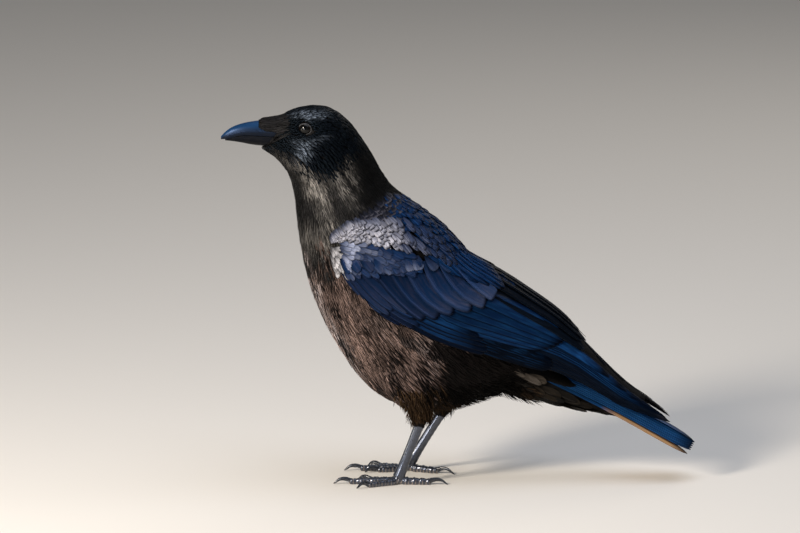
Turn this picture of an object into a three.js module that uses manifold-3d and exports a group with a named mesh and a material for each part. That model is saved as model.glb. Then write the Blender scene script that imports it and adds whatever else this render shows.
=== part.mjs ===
// A life-size carrion crow standing on flat ground, as a museum's still model.
// Millimetres, +Z up. The crow looks along -X, its left side is -Y, and the floor is z = 0.
// The origin is on the floor under the middle of the bird's bounding box.
import * as THREE from 'three';
import Module from 'manifold-3d';
import { mergeVertices } from 'three/addons/utils/BufferGeometryUtils.js';

const wasm = await Module();
wasm.setup();

// ---------------------------------------------------------------- driving dimensions
const GAP = 0.3; // between solids that touch
const LEFT = -1; // the sign of y on the crow's left side
const RIGHT = 1;

const BODY_SIDES = 22; // points round a section of the body
const LIMB_SIDES = 12;
const TOE_SIDES = 8;

// The body's sections, from the chin back to the vent. Each stands on a slanting plane from its point on
// the back (top) to its point on the belly (bottom), both [x, z]. width is the half width, widest is how
// far above the middle it lies, as a share of the half depth, and square is 2 for an ellipse and more
// for a fuller shape.
const BODY = [
  { at: 'chin', top: [-156, 312.5], bottom: [-171.5, 289.5], width: 5.5, widest: -0.1, square: 2.0 },
  { at: 'forehead', top: [-151, 318.0], bottom: [-168.0, 286.5], width: 8.2, widest: -0.1, square: 2.0 },
  { at: 'eyes', top: [-137.5, 323.8], bottom: [-158.2, 280.6], width: 16.0, widest: -0.02, square: 2.1 },
  { at: 'crown', top: [-114.4, 325.0], bottom: [-147.1, 267.5], width: 22.0, widest: -0.1, square: 2.15 },
  { at: 'nape', top: [-93.7, 311.1], bottom: [-142.3, 251.8], width: 24.8, widest: -0.05, square: 2.1 },
  { at: 'upper neck', top: [-74.8, 283.2], bottom: [-140.2, 236.0], width: 29.5, widest: 0, square: 2.05 },
  { at: 'lower neck', top: [-60.2, 257.9], bottom: [-137.6, 212.5], width: 36.5, widest: 0, square: 2.0 },
  { at: 'shoulders', top: [-38.7, 241.3], bottom: [-130.7, 177.5], width: 44.0, widest: 0, square: 2.05 },
  { at: 'breast', top: [-14.6, 223.8], bottom: [-119.5, 145.2], width: 49.0, widest: 0, square: 2.1 },
  { at: 'mantle', top: [6.9, 200.5], bottom: [-102.3, 112.9], width: 50.5, widest: -0.02, square: 2.1 },
  { at: 'belly', top: [21.5, 183.0], bottom: [-78.3, 80.6], width: 49.0, widest: -0.05, square: 2.1 },
  { at: 'legs', top: [38.0, 157.0], bottom: [-46.4, 63.5], width: 44.5, widest: -0.08, square: 2.1 },
  { at: 'flank', top: [50.5, 134.5], bottom: [-3.4, 64.0], width: 36.5, widest: -0.08, square: 2.0 },
  { at: 'rump', top: [59.0, 118.5], bottom: [32.7, 76.2], width: 27.0, widest: -0.05, square: 2.0 },
  { at: 'vent', top: [64.0, 110.0], bottom: [43.0, 73.0], width: 22.5, widest: 0, square: 2.0 },
];
const SECTIONS_BETWEEN = 2; // rings for each step from one named section to the next
const HEAD_ENDS = 4.55; // counted in sections from the chin
const NECK_ENDS = 6.6;

// Feathers under the tail, from the vent to their tips against the tail.
const UNDERTAIL = [
  { top: [64.4, 109.5], bottom: [43.5, 72.7], width: 22.3 },
  { top: [84.0, 97.0], bottom: [72.0, 66.6], width: 20.0 },
  { top: [106.0, 84.0], bottom: [100.0, 60.5], width: 15.5 },
  { top: [126.0, 71.0], bottom: [124.0, 56.8], width: 10.0 },
  { top: [137.0, 62.5], bottom: [137.6, 55.2], width: 5.0 },
];

// The hull that both folded wings lie on, from the shoulder to the wing tips.
const WING_HULL = [
  { top: [-100.0, 230.0], bottom: [-120.0, 184.0], width: 39.5 },
  { top: [-76.0, 249.0], bottom: [-110.0, 148.0], width: 51.5 },
  { top: [-40.0, 237.5], bottom: [-90.0, 117.0], width: 57.0 },
  { top: [-15.5, 217.5], bottom: [-62.0, 96.0], width: 58.8 },
  { top: [8.5, 196.5], bottom: [-34.0, 85.0], width: 57.5 },
  { top: [35.0, 182.5], bottom: [-2.0, 78.0], width: 51.0 },
  { top: [61.0, 165.0], bottom: [31.0, 75.0], width: 43.0 },
  { top: [87.0, 145.5], bottom: [65.0, 72.5], width: 35.0 },
  { top: [111.0, 121.0], bottom: [100.0, 68.0], width: 27.5 },
  { top: [144.0, 88.5], bottom: [132.0, 55.0], width: 21.0 },
  { top: [165.0, 73.5], bottom: [156.0, 47.0], width: 17.0 },
  { top: [187.0, 56.0], bottom: [181.0, 43.5], width: 12.5 },
];
const WING_THICKNESS = 5.5;
const PRIMARY_SINK = 2.2; // the primaries come out from under the secondaries by this much
const PRIMARY_THICKNESS = 4.0;

// The folded wing seen from the side: the shoulder, the scapulars' lower line, the tertials along the
// back, and then the lower edge from the secondaries' tips forwards to the bend. Each point is [x, z].
const WING_OUTLINE = [
  [-108.6, 206.2], [-106.0, 214.5], [-101.0, 222.0], [-84.0, 229.0], [-62.0, 230.0], [-40.0, 226.5],
  [-15.0, 213.0], [4.0, 200.0], [16.0, 199.0], [36.5, 189.0], [73.5, 163.0], [99.0, 142.0],
  [110.5, 121.7], [107.0, 119.0], [109.8, 115.8], [99.0, 117.3], [88.0, 119.0], [85.0, 116.5],
  [74.8, 111.0], [50.0, 113.0], [28.0, 117.0], [23.5, 114.7], [5.5, 119.8], [-7.3, 124.2],
  [-24.3, 132.1], [-34.6, 140.1], [-44.8, 141.7], [-65.1, 153.0], [-83.0, 164.0], [-93.2, 178.5],
  [-100.0, 184.1], [-106.9, 191.9], [-108.2, 199.5],
];
const PRIMARY_OUTLINE = [
  [28.2, 116.1], [50.0, 112.1], [75.0, 110.1], [85.5, 115.7], [88.4, 118.0], [99.0, 116.4],
  [109.0, 114.9], [125.6, 101.5], [144.0, 88.5], [159.4, 78.0], [174.6, 67.5], [185.7, 55.4],
  [180.5, 53.8], [181.5, 49.6], [143.7, 70.9], [113.3, 84.3], [82.1, 97.0], [66.6, 98.4],
  [37.2, 109.6], [25.0, 113.4],
];

// The tail is a roof of twelve feathers, longest in the middle.
const TAIL_ROOT = [50.0, 107.0]; // on the ridge
const TAIL_TIP = [203.6, 38.0];
const TAIL_DROOP = 28; // degrees, from the ridge down to each edge
const TAIL_BOW = 4.0; // how far its middle rises above the line from root to tip
const TAIL_THICKNESS = 3.6;
const TAIL_HALF_WIDTHS = [14.0, 16.5, 19.0, 21.0, 22.8, 24.3, 25.2, 25.4]; // evenly from root to tip
const TAIL_CORNER = 9.0; // how far the outer feathers fall short of the middle ones

// The bill, each half as sections from its root to its tip: z of its upper and lower line, half width.
const UPPER_BILL = [
  { x: -146.0, high: 316.0, low: 299.3, width: 9.7 },
  { x: -153.0, high: 315.0, low: 299.1, width: 9.3 },
  { x: -161.0, high: 313.6, low: 299.2, width: 8.6 },
  { x: -170.5, high: 312.4, low: 299.6, width: 7.5 },
  { x: -181.0, high: 310.9, low: 300.0, width: 6.3 },
  { x: -188.7, high: 309.0, low: 299.4, width: 5.2 },
  { x: -195.3, high: 306.3, low: 297.8, width: 4.0 },
  { x: -200.7, high: 302.4, low: 296.4, width: 2.6 },
  { x: -204.6, high: 298.4, low: 295.9, width: 1.1 },
];
const LOWER_BILL = [
  { x: -146.0, high: 299.0, low: 290.0, width: 9.3 },
  { x: -153.0, high: 298.8, low: 290.2, width: 8.9 },
  { x: -161.0, high: 298.9, low: 290.4, width: 8.2 },
  { x: -170.5, high: 299.3, low: 290.6, width: 7.1 },
  { x: -179.0, high: 299.6, low: 291.6, width: 6.0 },
  { x: -185.5, high: 299.2, low: 292.9, width: 4.9 },
  { x: -191.0, high: 298.4, low: 293.8, width: 3.7 },
  { x: -196.0, high: 297.0, low: 294.6, width: 2.2 },
];

// The pad of bristles that lies forwards over the nostrils.
const BRISTLES = [
  { x: -143.0, high: 318.5, low: 302.0, width: 13.2 },
  { x: -150.0, high: 317.6, low: 302.6, width: 11.6 },
  { x: -158.0, high: 316.2, low: 303.2, width: 10.4 },
  { x: -166.0, high: 314.8, low: 304.2, width: 9.2 },
  { x: -172.5, high: 313.4, low: 306.5, width: 7.9 },
];

const EYE_CENTRE = [-131.6, 13.6, 307.2];
const EYE_RADIUS = 6.2;

// Each leg: its foot's middle, the ankle, the thigh's root, and how many degrees each toe is turned
// outwards from straight ahead.
const LEGS = [
  {
    side: 'left', foot: [-52.0, -30.0], ankle: [-30.3, -31.5, 62.0], thigh: [-44.0, -27.0, 100.0],
    toes: { inner: -24, middle: -1, outer: 31, hind: 176 },
  },
  {
    side: 'right', foot: [-43.0, 30.0], ankle: [-9.5, 31.5, 60.0], thigh: [-30.0, 27.0, 98.0],
    toes: { inner: -12, middle: 2, outer: 31, hind: 203 },
  },
];
const FOOT_HEIGHT = 6.2; // of the joint where the toes meet
// Half depth front to back and half width of the bare shank, from the foot up to the ankle.
const SHANK = [[4.7, 4.2], [3.8, 3.1], [3.6, 2.8], [3.65, 2.85], [3.95, 3.2], [4.7, 3.9]];
// Radius of the feathered thigh from inside the body down to just above the ankle's bare end.
const THIGH = [27.0, 25.5, 22.0, 17.5, 12.5, 8.6, 6.4];
const THIGH_ENDS = 0.76; // of the way from the knee to the foot's side of the ankle

// Toes: length without the claw, root radius and claw length.
const TOES = [
  { name: 'middle', length: 42.5, radius: 3.1, claw: 14.5 },
  { name: 'inner', length: 28.0, radius: 2.8, claw: 12.0 },
  { name: 'outer', length: 31.0, radius: 2.7, claw: 12.0 },
  { name: 'hind', length: 27.5, radius: 3.2, claw: 16.0 },
];
const TOE_PADS = 4; // swellings under a toe
const TOE_PRESS = 0.82; // a toe's middle stands this share of its radius over the floor
const TOE_ROOT_RISE = 1.6; // and this much more where it leaves the foot
const CLAW_RISE = 3.2; // the claw's arch above its root

// ---------------------------------------------------------------- shapes

// A closed body over rings of as many points each. Its ends are closed with a fan round the middle, or,
// for a thin ring whose second half runs back under its first, with a strip from half to half.
function closedBody(rings, thin = false) {
  const sides = rings[0].length;
  const points = rings.flat();
  const faces = [];
  for (let r = 0; r + 1 < rings.length; r++) {
    for (let s = 0; s < sides; s++) {
      const a = r * sides + s;
      const b = r * sides + ((s + 1) % sides);
      faces.push(a, b, b + sides, a, b + sides, a + sides);
    }
  }
  for (const [ring, first, turned] of [[rings[0], 0, true], [rings.at(-1), (rings.length - 1) * sides, false]]) {
    for (let s = 0; thin && s + 1 < sides / 2; s++) {
      const [a, b, c, d] = [first + s, first + s + 1, first + sides - 2 - s, first + sides - 1 - s];
      faces.push(...(turned ? [a, c, b, a, d, c] : [a, b, c, a, c, d]));
    }
    if (thin) continue;
    const middle = points.length;
    points.push(ring.reduce((sum, p) => sum.add(p), new THREE.Vector3()).divideScalar(sides));
    for (let s = 0; s < sides; s++) {
      const a = first + s;
      const b = first + ((s + 1) % sides);
      faces.push(...(turned ? [b, a, middle] : [a, b, middle]));
    }
  }
  const geometry = new THREE.BufferGeometry().setFromPoints(points);
  geometry.setIndex(signedVolume(points, faces) < 0 ? faces.reverse() : faces);
  return geometry;
}

function signedVolume(points, faces) {
  let six = 0;
  const normal = new THREE.Vector3();
  for (let i = 0; i < faces.length; i += 3) {
    normal.crossVectors(points[faces[i + 1]], points[faces[i + 2]]);
    six += points[faces[i]].dot(normal);
  }
  return six / 6;
}

function toSolid(geometry) {
  const bare = geometry.clone();
  bare.deleteAttribute('normal');
  bare.deleteAttribute('uv');
  const merged = mergeVertices(bare, 1e-3);
  return new wasm.Manifold(new wasm.Mesh({
    numProp: 3,
    vertProperties: merged.attributes.position.array,
    triVerts: new Uint32Array(merged.index.array),
  }));
}

function toGeometry(solid) {
  const mesh = solid.getMesh();
  return new THREE.BufferGeometry()
    .setAttribute('position', new THREE.BufferAttribute(new Float32Array(mesh.vertProperties), 3))
    .setIndex(new THREE.BufferAttribute(new Uint32Array(mesh.triVerts), 1));
}

// Smooth values between rows of numbers: at(1.5) is halfway from row 1 to row 2.
function smoothRows(rows) {
  const curves = [];
  for (let i = 0; i < rows[0].length; i += 3) {
    const points = rows.map((row) => new THREE.Vector3(row[i], row[i + 1] ?? 0, row[i + 2] ?? 0));
    curves.push(new THREE.CatmullRomCurve3(points, false, 'catmullrom', 0.5));
  }
  return (at) => curves.flatMap((curve) => curve.getPoint(at / (rows.length - 1)).toArray());
}

// One section of the body or a hull, on the slanting plane through its top and its bottom.
function sectionRing(top, bottom, width, widest, square, sides, grow) {
  const middle = new THREE.Vector3((top[0] + bottom[0]) / 2, 0, (top[1] + bottom[1]) / 2);
  const up = new THREE.Vector3(top[0] - bottom[0], 0, top[1] - bottom[1]);
  const depth = up.length() / 2 + grow;
  up.normalize();
  const power = 2 / square;
  const ring = [];
  for (let s = 0; s < sides; s++) {
    const turn = (s / sides) * Math.PI * 2;
    const c = Math.cos(turn);
    const n = Math.sin(turn);
    const high = Math.sign(c) * Math.abs(c) ** power + widest * n * n;
    const out = Math.sign(n) * Math.abs(n) ** power;
    ring.push(middle.clone().addScaledVector(up, high * depth).add(new THREE.Vector3(0, out * (width + grow), 0)));
  }
  return ring;
}

// The loft over a list of sections, from one count of sections to another.
function sectionLoft(sections, from, to, { grow = 0, sides = BODY_SIDES, between = SECTIONS_BETWEEN } = {}) {
  const at = smoothRows(sections.map((s) => [...s.top, ...s.bottom, s.width, s.widest ?? 0, s.square ?? 2]));
  const steps = Math.max(2, Math.round((to - from) * between));
  const rings = [];
  for (let i = 0; i <= steps; i++) {
    const row = at(from + ((to - from) * i) / steps);
    const [topX, topZ, bottomX, bottomZ, width, widest, square] = row;
    rings.push(sectionRing([topX, topZ], [bottomX, bottomZ], width, widest, square, sides, grow));
  }
  return closedBody(rings);
}

// A loft along x of upright half ellipses with a flat side: 1 for an arch over a flat underside, -1 for
// a keel under a flat top, and 0 for whole ellipses.
function uprightLoft(sections, { grow = 0, arch = 0, sides = 14 } = {}) {
  const rings = sections.map((section, i) => {
    const end = (i === 0 ? grow : 0) - (i === sections.length - 1 ? grow : 0);
    const centre = (section.high + section.low) / 2;
    const middle = { '-1': section.high, 0: centre, 1: section.low }[arch];
    const ring = [];
    for (let s = 0; s < sides; s++) {
      const turn = (s / sides) * Math.PI * 2;
      const c = Math.cos(turn);
      const rise = (c > 0 ? section.high + grow : section.low - grow) - middle;
      const flat = arch !== 0 && c * arch < 0;
      const z = middle + (flat ? -arch * grow : Math.abs(rise) * c);
      const y = Math.sin(turn) * (section.width + grow);
      ring.push(new THREE.Vector3(section.x + end, flat ? y * 0.98 : y, z));
    }
    return ring;
  });
  return closedBody(rings);
}

// A tube of ellipses along a curve. across is the section's level direction; halfDepth and halfWidth
// are functions of the way along, from 0 to 1; what would lie under the floor is flattened onto it.
function tube(curve, steps, sides, across, halfDepth, halfWidth, floor = -Infinity) {
  const rings = [];
  for (let i = 0; i <= steps; i++) {
    const t = i / steps;
    const middle = curve.getPoint(t);
    const along = curve.getTangent(t);
    const level = across.clone().addScaledVector(along, -across.dot(along)).normalize();
    const up = new THREE.Vector3().crossVectors(along, level).normalize();
    const ring = [];
    for (let s = 0; s < sides; s++) {
      const turn = ((s + 0.5) / sides) * Math.PI * 2;
      const p = middle.clone();
      p.addScaledVector(level, Math.cos(turn) * halfWidth(t));
      p.addScaledVector(up, Math.sin(turn) * halfDepth(t));
      p.z = Math.max(p.z, floor);
      ring.push(p);
    }
    rings.push(ring);
  }
  return closedBody(rings);
}

function between(list, t) {
  const at = Math.min(Math.max(t, 0), 1) * (list.length - 1);
  const i = Math.min(Math.floor(at), list.length - 2);
  return THREE.MathUtils.lerp(list[i], list[i + 1], at - i);
}

// ---------------------------------------------------------------- materials
const finish = (color, roughness, metalness = 0) => new THREE.MeshStandardMaterial({ color, roughness, metalness });
const plumage = finish(0x14131a, 0.55);
const flightFeather = finish(0x10182c, 0.4);
const bellyFeather = finish(0x231c1a, 0.7);
const horn = finish(0x15171b, 0.3);
const scutes = finish(0x1b1c20, 0.42);
const eyeGlass = finish(0x0b0705, 0.05);

const crow = new THREE.Group();
crow.name = 'crow';

function addPart(name, geometry, material) {
  const mesh = new THREE.Mesh(geometry, material);
  mesh.name = name;
  crow.add(mesh);
}

// ---------------------------------------------------------------- bill
const bill = {
  upper: (grow) => toSolid(uprightLoft(UPPER_BILL, { grow, arch: 1 })),
  lower: (grow) => toSolid(uprightLoft(LOWER_BILL, { grow, arch: -1 })),
};
const wholeBill = (grow) => bill.upper(grow).add(bill.lower(grow));
addPart('upper_mandible', toGeometry(bill.upper(0)), horn);
addPart('lower_mandible', toGeometry(bill.lower(0).subtract(bill.upper(GAP))), horn);

// ---------------------------------------------------------------- eyes
function eyeball(side, grow) {
  const ball = new THREE.SphereGeometry(EYE_RADIUS + grow, 12, 8);
  const [x, y, z] = EYE_CENTRE;
  ball.translate(x, side * y, z);
  return ball;
}
addPart('eye_left', toGeometry(toSolid(eyeball(LEFT, 0))), eyeGlass);
addPart('eye_right', toGeometry(toSolid(eyeball(RIGHT, 0))), eyeGlass);
const eyeSockets = toSolid(eyeball(LEFT, GAP)).add(toSolid(eyeball(RIGHT, GAP)));

// ---------------------------------------------------------------- head, neck and trunk, parted by thin cuts
const SECTION_LENGTH = 30; // about, along the neck, so that a cut's width can be given in millimetres
const CUT = (GAP * 1.3) / SECTION_LENGTH;
const headSolid = (grow) => toSolid(sectionLoft(BODY, 0, HEAD_ENDS, { grow }));
const neckSolid = (grow) => toSolid(sectionLoft(BODY, HEAD_ENDS + CUT, NECK_ENDS, { grow }));
const trunkSolid = (grow) => toSolid(sectionLoft(BODY, NECK_ENDS + CUT, BODY.length - 1, { grow }));
const bodyGrown = toSolid(sectionLoft(BODY, 0, BODY.length - 1, { grow: GAP }));

addPart('head', toGeometry(headSolid(0).subtract(wholeBill(GAP)).subtract(eyeSockets)), plumage);
addPart('neck', toGeometry(neckSolid(0)), plumage);
addPart('trunk', toGeometry(trunkSolid(0)), bellyFeather);

const headGrown = toSolid(sectionLoft(BODY, 0, HEAD_ENDS, { grow: GAP }));
const bristlePad = toSolid(uprightLoft(BRISTLES, { arch: 1 }));
addPart('nasal_bristles', toGeometry(bristlePad.subtract(wholeBill(GAP)).subtract(headGrown)), plumage);

// ---------------------------------------------------------------- tail
function tailSolid(grow) {
  const root = new THREE.Vector3(TAIL_ROOT[0], 0, TAIL_ROOT[1]);
  const tip = new THREE.Vector3(TAIL_TIP[0], 0, TAIL_TIP[1]);
  const along = tip.clone().sub(root);
  const length = along.length();
  along.normalize();
  const up = new THREE.Vector3(-along.z, 0, along.x);
  const droop = Math.tan(THREE.MathUtils.degToRad(TAIL_DROOP));
  const steps = 8;
  const across = [-1, -0.7, -0.35, 0, 0.35, 0.7, 1];
  const rings = [];
  for (let i = 0; i <= steps; i++) {
    const t = i / steps;
    const half = between(TAIL_HALF_WIDTHS, t) + grow;
    const point = (share, lift) => root.clone()
      .addScaledVector(along, t * (length - TAIL_CORNER * share * share) + (t < 0.5 ? -grow : grow) * 2)
      .addScaledVector(up, lift - Math.abs(share) * half * droop + TAIL_BOW * Math.sin(Math.PI * t))
      .add(new THREE.Vector3(0, share * half, 0));
    const edge = (share) => TAIL_THICKNESS * (1 - 0.45 * Math.abs(share)) * (1 - 0.5 * t);
    const above = across.map((share) => point(share, grow));
    const below = across.map((share) => point(share, -edge(share) - grow));
    rings.push([...above, ...below.reverse()]);
  }
  return toSolid(closedBody(rings, true));
}
addPart('tail', toGeometry(tailSolid(0).subtract(bodyGrown)), flightFeather);

const undertailSections = UNDERTAIL.map((s) => ({ ...s, widest: 0, square: 2 }));
const undertail = (grow) => toSolid(
  sectionLoft(undertailSections, 0, UNDERTAIL.length - 1, { grow, sides: 12 }),
).subtract(tailSolid(GAP - grow));
addPart('undertail_coverts', toGeometry(largest(undertail(0).subtract(bodyGrown))), bellyFeather);

// The largest piece of a solid that a cut left in several.
function largest(solid) {
  return solid.decompose().reduce((best, piece) => (piece.volume() > best.volume() ? piece : best));
}

// ---------------------------------------------------------------- folded wings
function outlinePrism(outline, side) {
  const shape = new THREE.Shape(outline.map(([x, z]) => new THREE.Vector2(x, z)));
  const prism = new THREE.ExtrudeGeometry(shape, { depth: 90, bevelEnabled: false });
  prism.rotateX(Math.PI / 2); // the outline's second axis is now z, and it runs towards -y
  prism.translate(0, -GAP / 2, 0);
  if (side === RIGHT) prism.translate(0, 90 + GAP, 0);
  return toSolid(prism);
}

function wingShell(sink, thickness) {
  const hull = (grow) => toSolid(sectionLoft(WING_HULL, 0, WING_HULL.length - 1, { grow, sides: 26, between: 1 }));
  return hull(-sink).subtract(hull(-sink - thickness));
}

const underWings = bodyGrown.add(tailSolid(GAP)).add(undertail(GAP));
const coverShell = wingShell(0, WING_THICKNESS);
const primaryShell = wingShell(PRIMARY_SINK, PRIMARY_THICKNESS);
for (const [side, word] of [[LEFT, 'left'], [RIGHT, 'right']]) {
  const wing = coverShell.intersect(outlinePrism(WING_OUTLINE, side)).subtract(underWings);
  addPart(`wing_${word}`, toGeometry(largest(wing)), flightFeather);
  const primaries = primaryShell.intersect(outlinePrism(PRIMARY_OUTLINE, side)).subtract(underWings);
  addPart(`primaries_${word}`, toGeometry(largest(primaries)), flightFeather);
}

// ---------------------------------------------------------------- legs and feet
const ACROSS = new THREE.Vector3(0, 1, 0);

function shank(leg, grow) {
  const foot = new THREE.Vector3(leg.foot[0], leg.foot[1], FOOT_HEIGHT);
  const ankle = new THREE.Vector3(...leg.ankle);
  const line = new THREE.LineCurve3(foot, ankle);
  return tube(line, 5, LIMB_SIDES, ACROSS,
    (t) => between(SHANK.map((s) => s[0]), t) + grow, (t) => between(SHANK.map((s) => s[1]), t) + grow);
}

function thigh(leg) {
  const hip = new THREE.Vector3(...leg.thigh);
  const ankle = new THREE.Vector3(...leg.ankle);
  const foot = new THREE.Vector3(leg.foot[0], leg.foot[1], FOOT_HEIGHT);
  const end = ankle.clone().lerp(foot, 1 - THIGH_ENDS);
  const bend = ankle.clone().lerp(hip, 0.18);
  const line = new THREE.CatmullRomCurve3([hip, hip.clone().lerp(ankle, 0.5), bend, end]);
  return tube(line, 7, 12, ACROSS, (t) => between(THIGH, t), (t) => between(THIGH, t) * 0.82);
}

// A toe rests on the floor on the flats under its pads, and rises a little at its root.
function toe(spec, leg, grow) {
  const out = leg.side === 'left' ? -1 : 1;
  const angle = THREE.MathUtils.degToRad(leg.toes[spec.name]) * out;
  const ahead = new THREE.Vector3(-Math.cos(angle), Math.sin(angle), 0);
  const level = new THREE.Vector3(-ahead.y, ahead.x, 0);
  const start = new THREE.Vector3(leg.foot[0], leg.foot[1], 0);
  const taper = (t) => spec.radius * (1 - 0.22 * t);
  const radius = (t) => taper(t) * (1 + 0.09 * Math.cos(t * TOE_PADS * Math.PI * 2));
  const middles = [];
  for (let i = 0; i <= 10; i++) {
    const t = i / 10;
    const rise = taper(t) * TOE_PRESS + TOE_ROOT_RISE * Math.max(0, 1 - t * 5);
    const reach = spec.length * t + (t - 0.5) * 8 * grow;
    middles.push(start.clone().addScaledVector(ahead, reach).setZ(rise));
  }
  const line = new THREE.CatmullRomCurve3(middles);
  const size = (t) => radius(t) + grow;
  return tube(line, 8, TOE_SIDES, level, size, size, grow ? -1 : 0);
}

function claw(spec, leg) {
  const out = leg.side === 'left' ? -1 : 1;
  const angle = THREE.MathUtils.degToRad(leg.toes[spec.name]) * out;
  const ahead = new THREE.Vector3(-Math.cos(angle), Math.sin(angle), 0);
  const level = new THREE.Vector3(-ahead.y, ahead.x, 0);
  const root = new THREE.Vector3(leg.foot[0], leg.foot[1], 0).addScaledVector(ahead, spec.length - 1);
  const height = spec.radius * 0.8;
  const point = (share, lift) => root.clone().addScaledVector(ahead, spec.claw * share).setZ(height + lift);
  const line = new THREE.CatmullRomCurve3([
    point(0, 0.3), point(0.3, CLAW_RISE * 0.55), point(0.62, CLAW_RISE * 0.45), point(0.86, -height * 0.35),
    point(1, -height + 0.5),
  ]);
  const radius = (t) => 2.1 * (1 - t) ** 0.8 + 0.28;
  return tube(line, 7, 6, level, radius, (t) => radius(t) * 0.8, 0);
}

// Where they meet, each toe gives way to the shank and to the toes before it.
for (const leg of LEGS) {
  const shankSolid = toSolid(shank(leg, 0));
  const shankGrown = toSolid(shank(leg, GAP));
  addPart(`tarsus_${leg.side}`, toGeometry(shankSolid), scutes);
  const thighSolid = toSolid(thigh(leg)).subtract(shankGrown).subtract(bodyGrown);
  addPart(`thigh_${leg.side}`, toGeometry(largest(thighSolid)), bellyFeather);
  let taken = shankGrown;
  for (const spec of TOES) {
    const toeSolid = toSolid(toe(spec, leg, 0));
    addPart(`toe_${spec.name}_${leg.side}`, toGeometry(largest(toeSolid.subtract(taken))), scutes);
    taken = taken.add(toSolid(toe(spec, leg, GAP)));
  }
  for (const spec of TOES) {
    const clawSolid = toSolid(claw(spec, leg)).subtract(taken);
    addPart(`claw_${spec.name}_${leg.side}`, toGeometry(largest(clawSolid)), horn);
  }
}

export default crow;
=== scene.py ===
"""A life-size carrion crow as a still model: its skin, feathers, bill, eyes and legs.

The crow looks along -X, its left side is -Y and the floor is z = 0. Shapes are worked
out in millimetres, and every finished mesh is in metres.
"""

from __future__ import annotations

import logging
import math
from dataclasses import dataclass, replace
from enum import Enum
from functools import lru_cache, partial
from typing import Callable, Iterable, Sequence

import bmesh
import bpy
import numpy as np
from bmesh.types import BMesh
from bpy.types import Material, Node, Object
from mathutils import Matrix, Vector
from mathutils.bvhtree import BVHTree
from mathutils.kdtree import KDTree
from numpy.random import Generator

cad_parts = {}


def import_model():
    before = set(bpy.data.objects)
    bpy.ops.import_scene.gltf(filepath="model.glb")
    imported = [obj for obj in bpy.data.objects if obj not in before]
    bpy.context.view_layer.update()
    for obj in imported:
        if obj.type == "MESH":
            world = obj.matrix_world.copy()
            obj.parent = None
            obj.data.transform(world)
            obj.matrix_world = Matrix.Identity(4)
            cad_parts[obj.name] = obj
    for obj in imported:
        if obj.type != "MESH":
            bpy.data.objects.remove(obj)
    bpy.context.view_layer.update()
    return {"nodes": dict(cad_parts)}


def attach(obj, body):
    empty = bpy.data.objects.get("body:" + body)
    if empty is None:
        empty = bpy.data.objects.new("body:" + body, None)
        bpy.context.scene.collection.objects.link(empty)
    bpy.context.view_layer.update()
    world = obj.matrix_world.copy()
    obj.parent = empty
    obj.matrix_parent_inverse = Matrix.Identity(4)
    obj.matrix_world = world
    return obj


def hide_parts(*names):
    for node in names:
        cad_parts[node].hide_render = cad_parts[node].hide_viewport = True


log = logging.getLogger("crow")

MM = 0.001
LEFT, RIGHT = -1, 1
SIDES = {LEFT: "left", RIGHT: "right"}
BODY = "root"
PATCH = 0.003  # width of one feather's patch on the bake map
BARB_UNIT = 10.0  # the barb map counts in centimetres
KERATIN_IOR = 1.55
FULL_TURN = 2 * math.pi

Places = np.ndarray  # n x 3, millimetres
Row = Sequence[float]
Pair = tuple[float, float]
Pairs = tuple[Pair, ...]
Triple = tuple[float, float, float]
Inputs = Sequence[object] | dict[str | int, object]


# -------- numbers and colours
def linear(hex_colour: str) -> tuple[float, ...]:
    """Turns an sRGB hex colour to linear RGBA.

    Args:
        hex_colour: Six hex digits after a hash sign.

    Returns:
        Linear red, green and blue, with full alpha.
    """
    parts = [int(hex_colour[i : i + 2], 16) / 255 for i in (1, 3, 5)]
    low = [c / 12.92 if c <= 0.04045 else ((c + 0.055) / 1.055) ** 2.4 for c in parts]
    return (low[0], low[1], low[2], 1.0)


def unit(vectors: np.ndarray) -> np.ndarray:
    """Returns the vectors at length one."""
    size = np.linalg.norm(vectors, axis=-1, keepdims=True)
    return vectors / np.maximum(size, 1e-9)


def smooth_rows(rows: Sequence[Row], at: np.ndarray) -> np.ndarray:
    """Reads a table smoothly between its rows.

    Args:
        rows: Rows of numbers, evenly spaced.
        at: Where to read, from 0 at the first row to 1 at the last.

    Returns:
        One row of numbers for each place asked for.
    """
    table = np.asarray(rows, float)
    if table.ndim == 1:
        table = table[:, None]
    last = len(table) - 1
    place = np.clip(np.asarray(at, float), 0, 1) * last
    i = np.minimum(place.astype(int), last - 1)
    t = (place - i)[:, None]
    before, start, end = table[np.maximum(i - 1, 0)], table[i], table[i + 1]
    after = table[np.minimum(i + 2, last)]
    return (
        (2 * t**3 - 3 * t**2 + 1) * start
        + (t**3 - 2 * t**2 + t) * ((end - before) / 2)
        + (3 * t**2 - 2 * t**3) * end
        + (t**3 - t**2) * ((after - start) / 2)
    )


# -------- node trees
TIMES, TIMES_PLUS = {"operation": "MULTIPLY"}, {"operation": "MULTIPLY_ADD"}
COLOURS = {"data_type": "RGBA"}
FACTOR, FIRST, SECOND = 0, 6, 7  # a colour Mix node's inputs
NOISE_SPAN = (0.42, 0.72)  # where a strand noise's streaks start and are whole
MOTTLE_SPAN = (0.38, 0.68)  # the same for a hard part's mottling
STRAND_STRETCH = 1.1  # strands are about nine times longer than they are wide
APART = 37.0  # keeps each feather's noise clear of the next one's
BARB_SLANT = 1.35  # how far a barb sweeps towards the tip for each step outwards
PATCHY = (1.6, 0.1)  # how the strands break up the painted gleam and the wear
DEPTH_OF_TONE = (1.9, 0.03)  # a tone of 0 to 1 as a factor on the colour
DOWN_SHARE, DOWN_SHADE = 0.55, 0.45  # how much of a vane's covered root is painted with shade, and how dark
RIM_CORE = 0.35  # the share of a rim that has its whole colour


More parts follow.
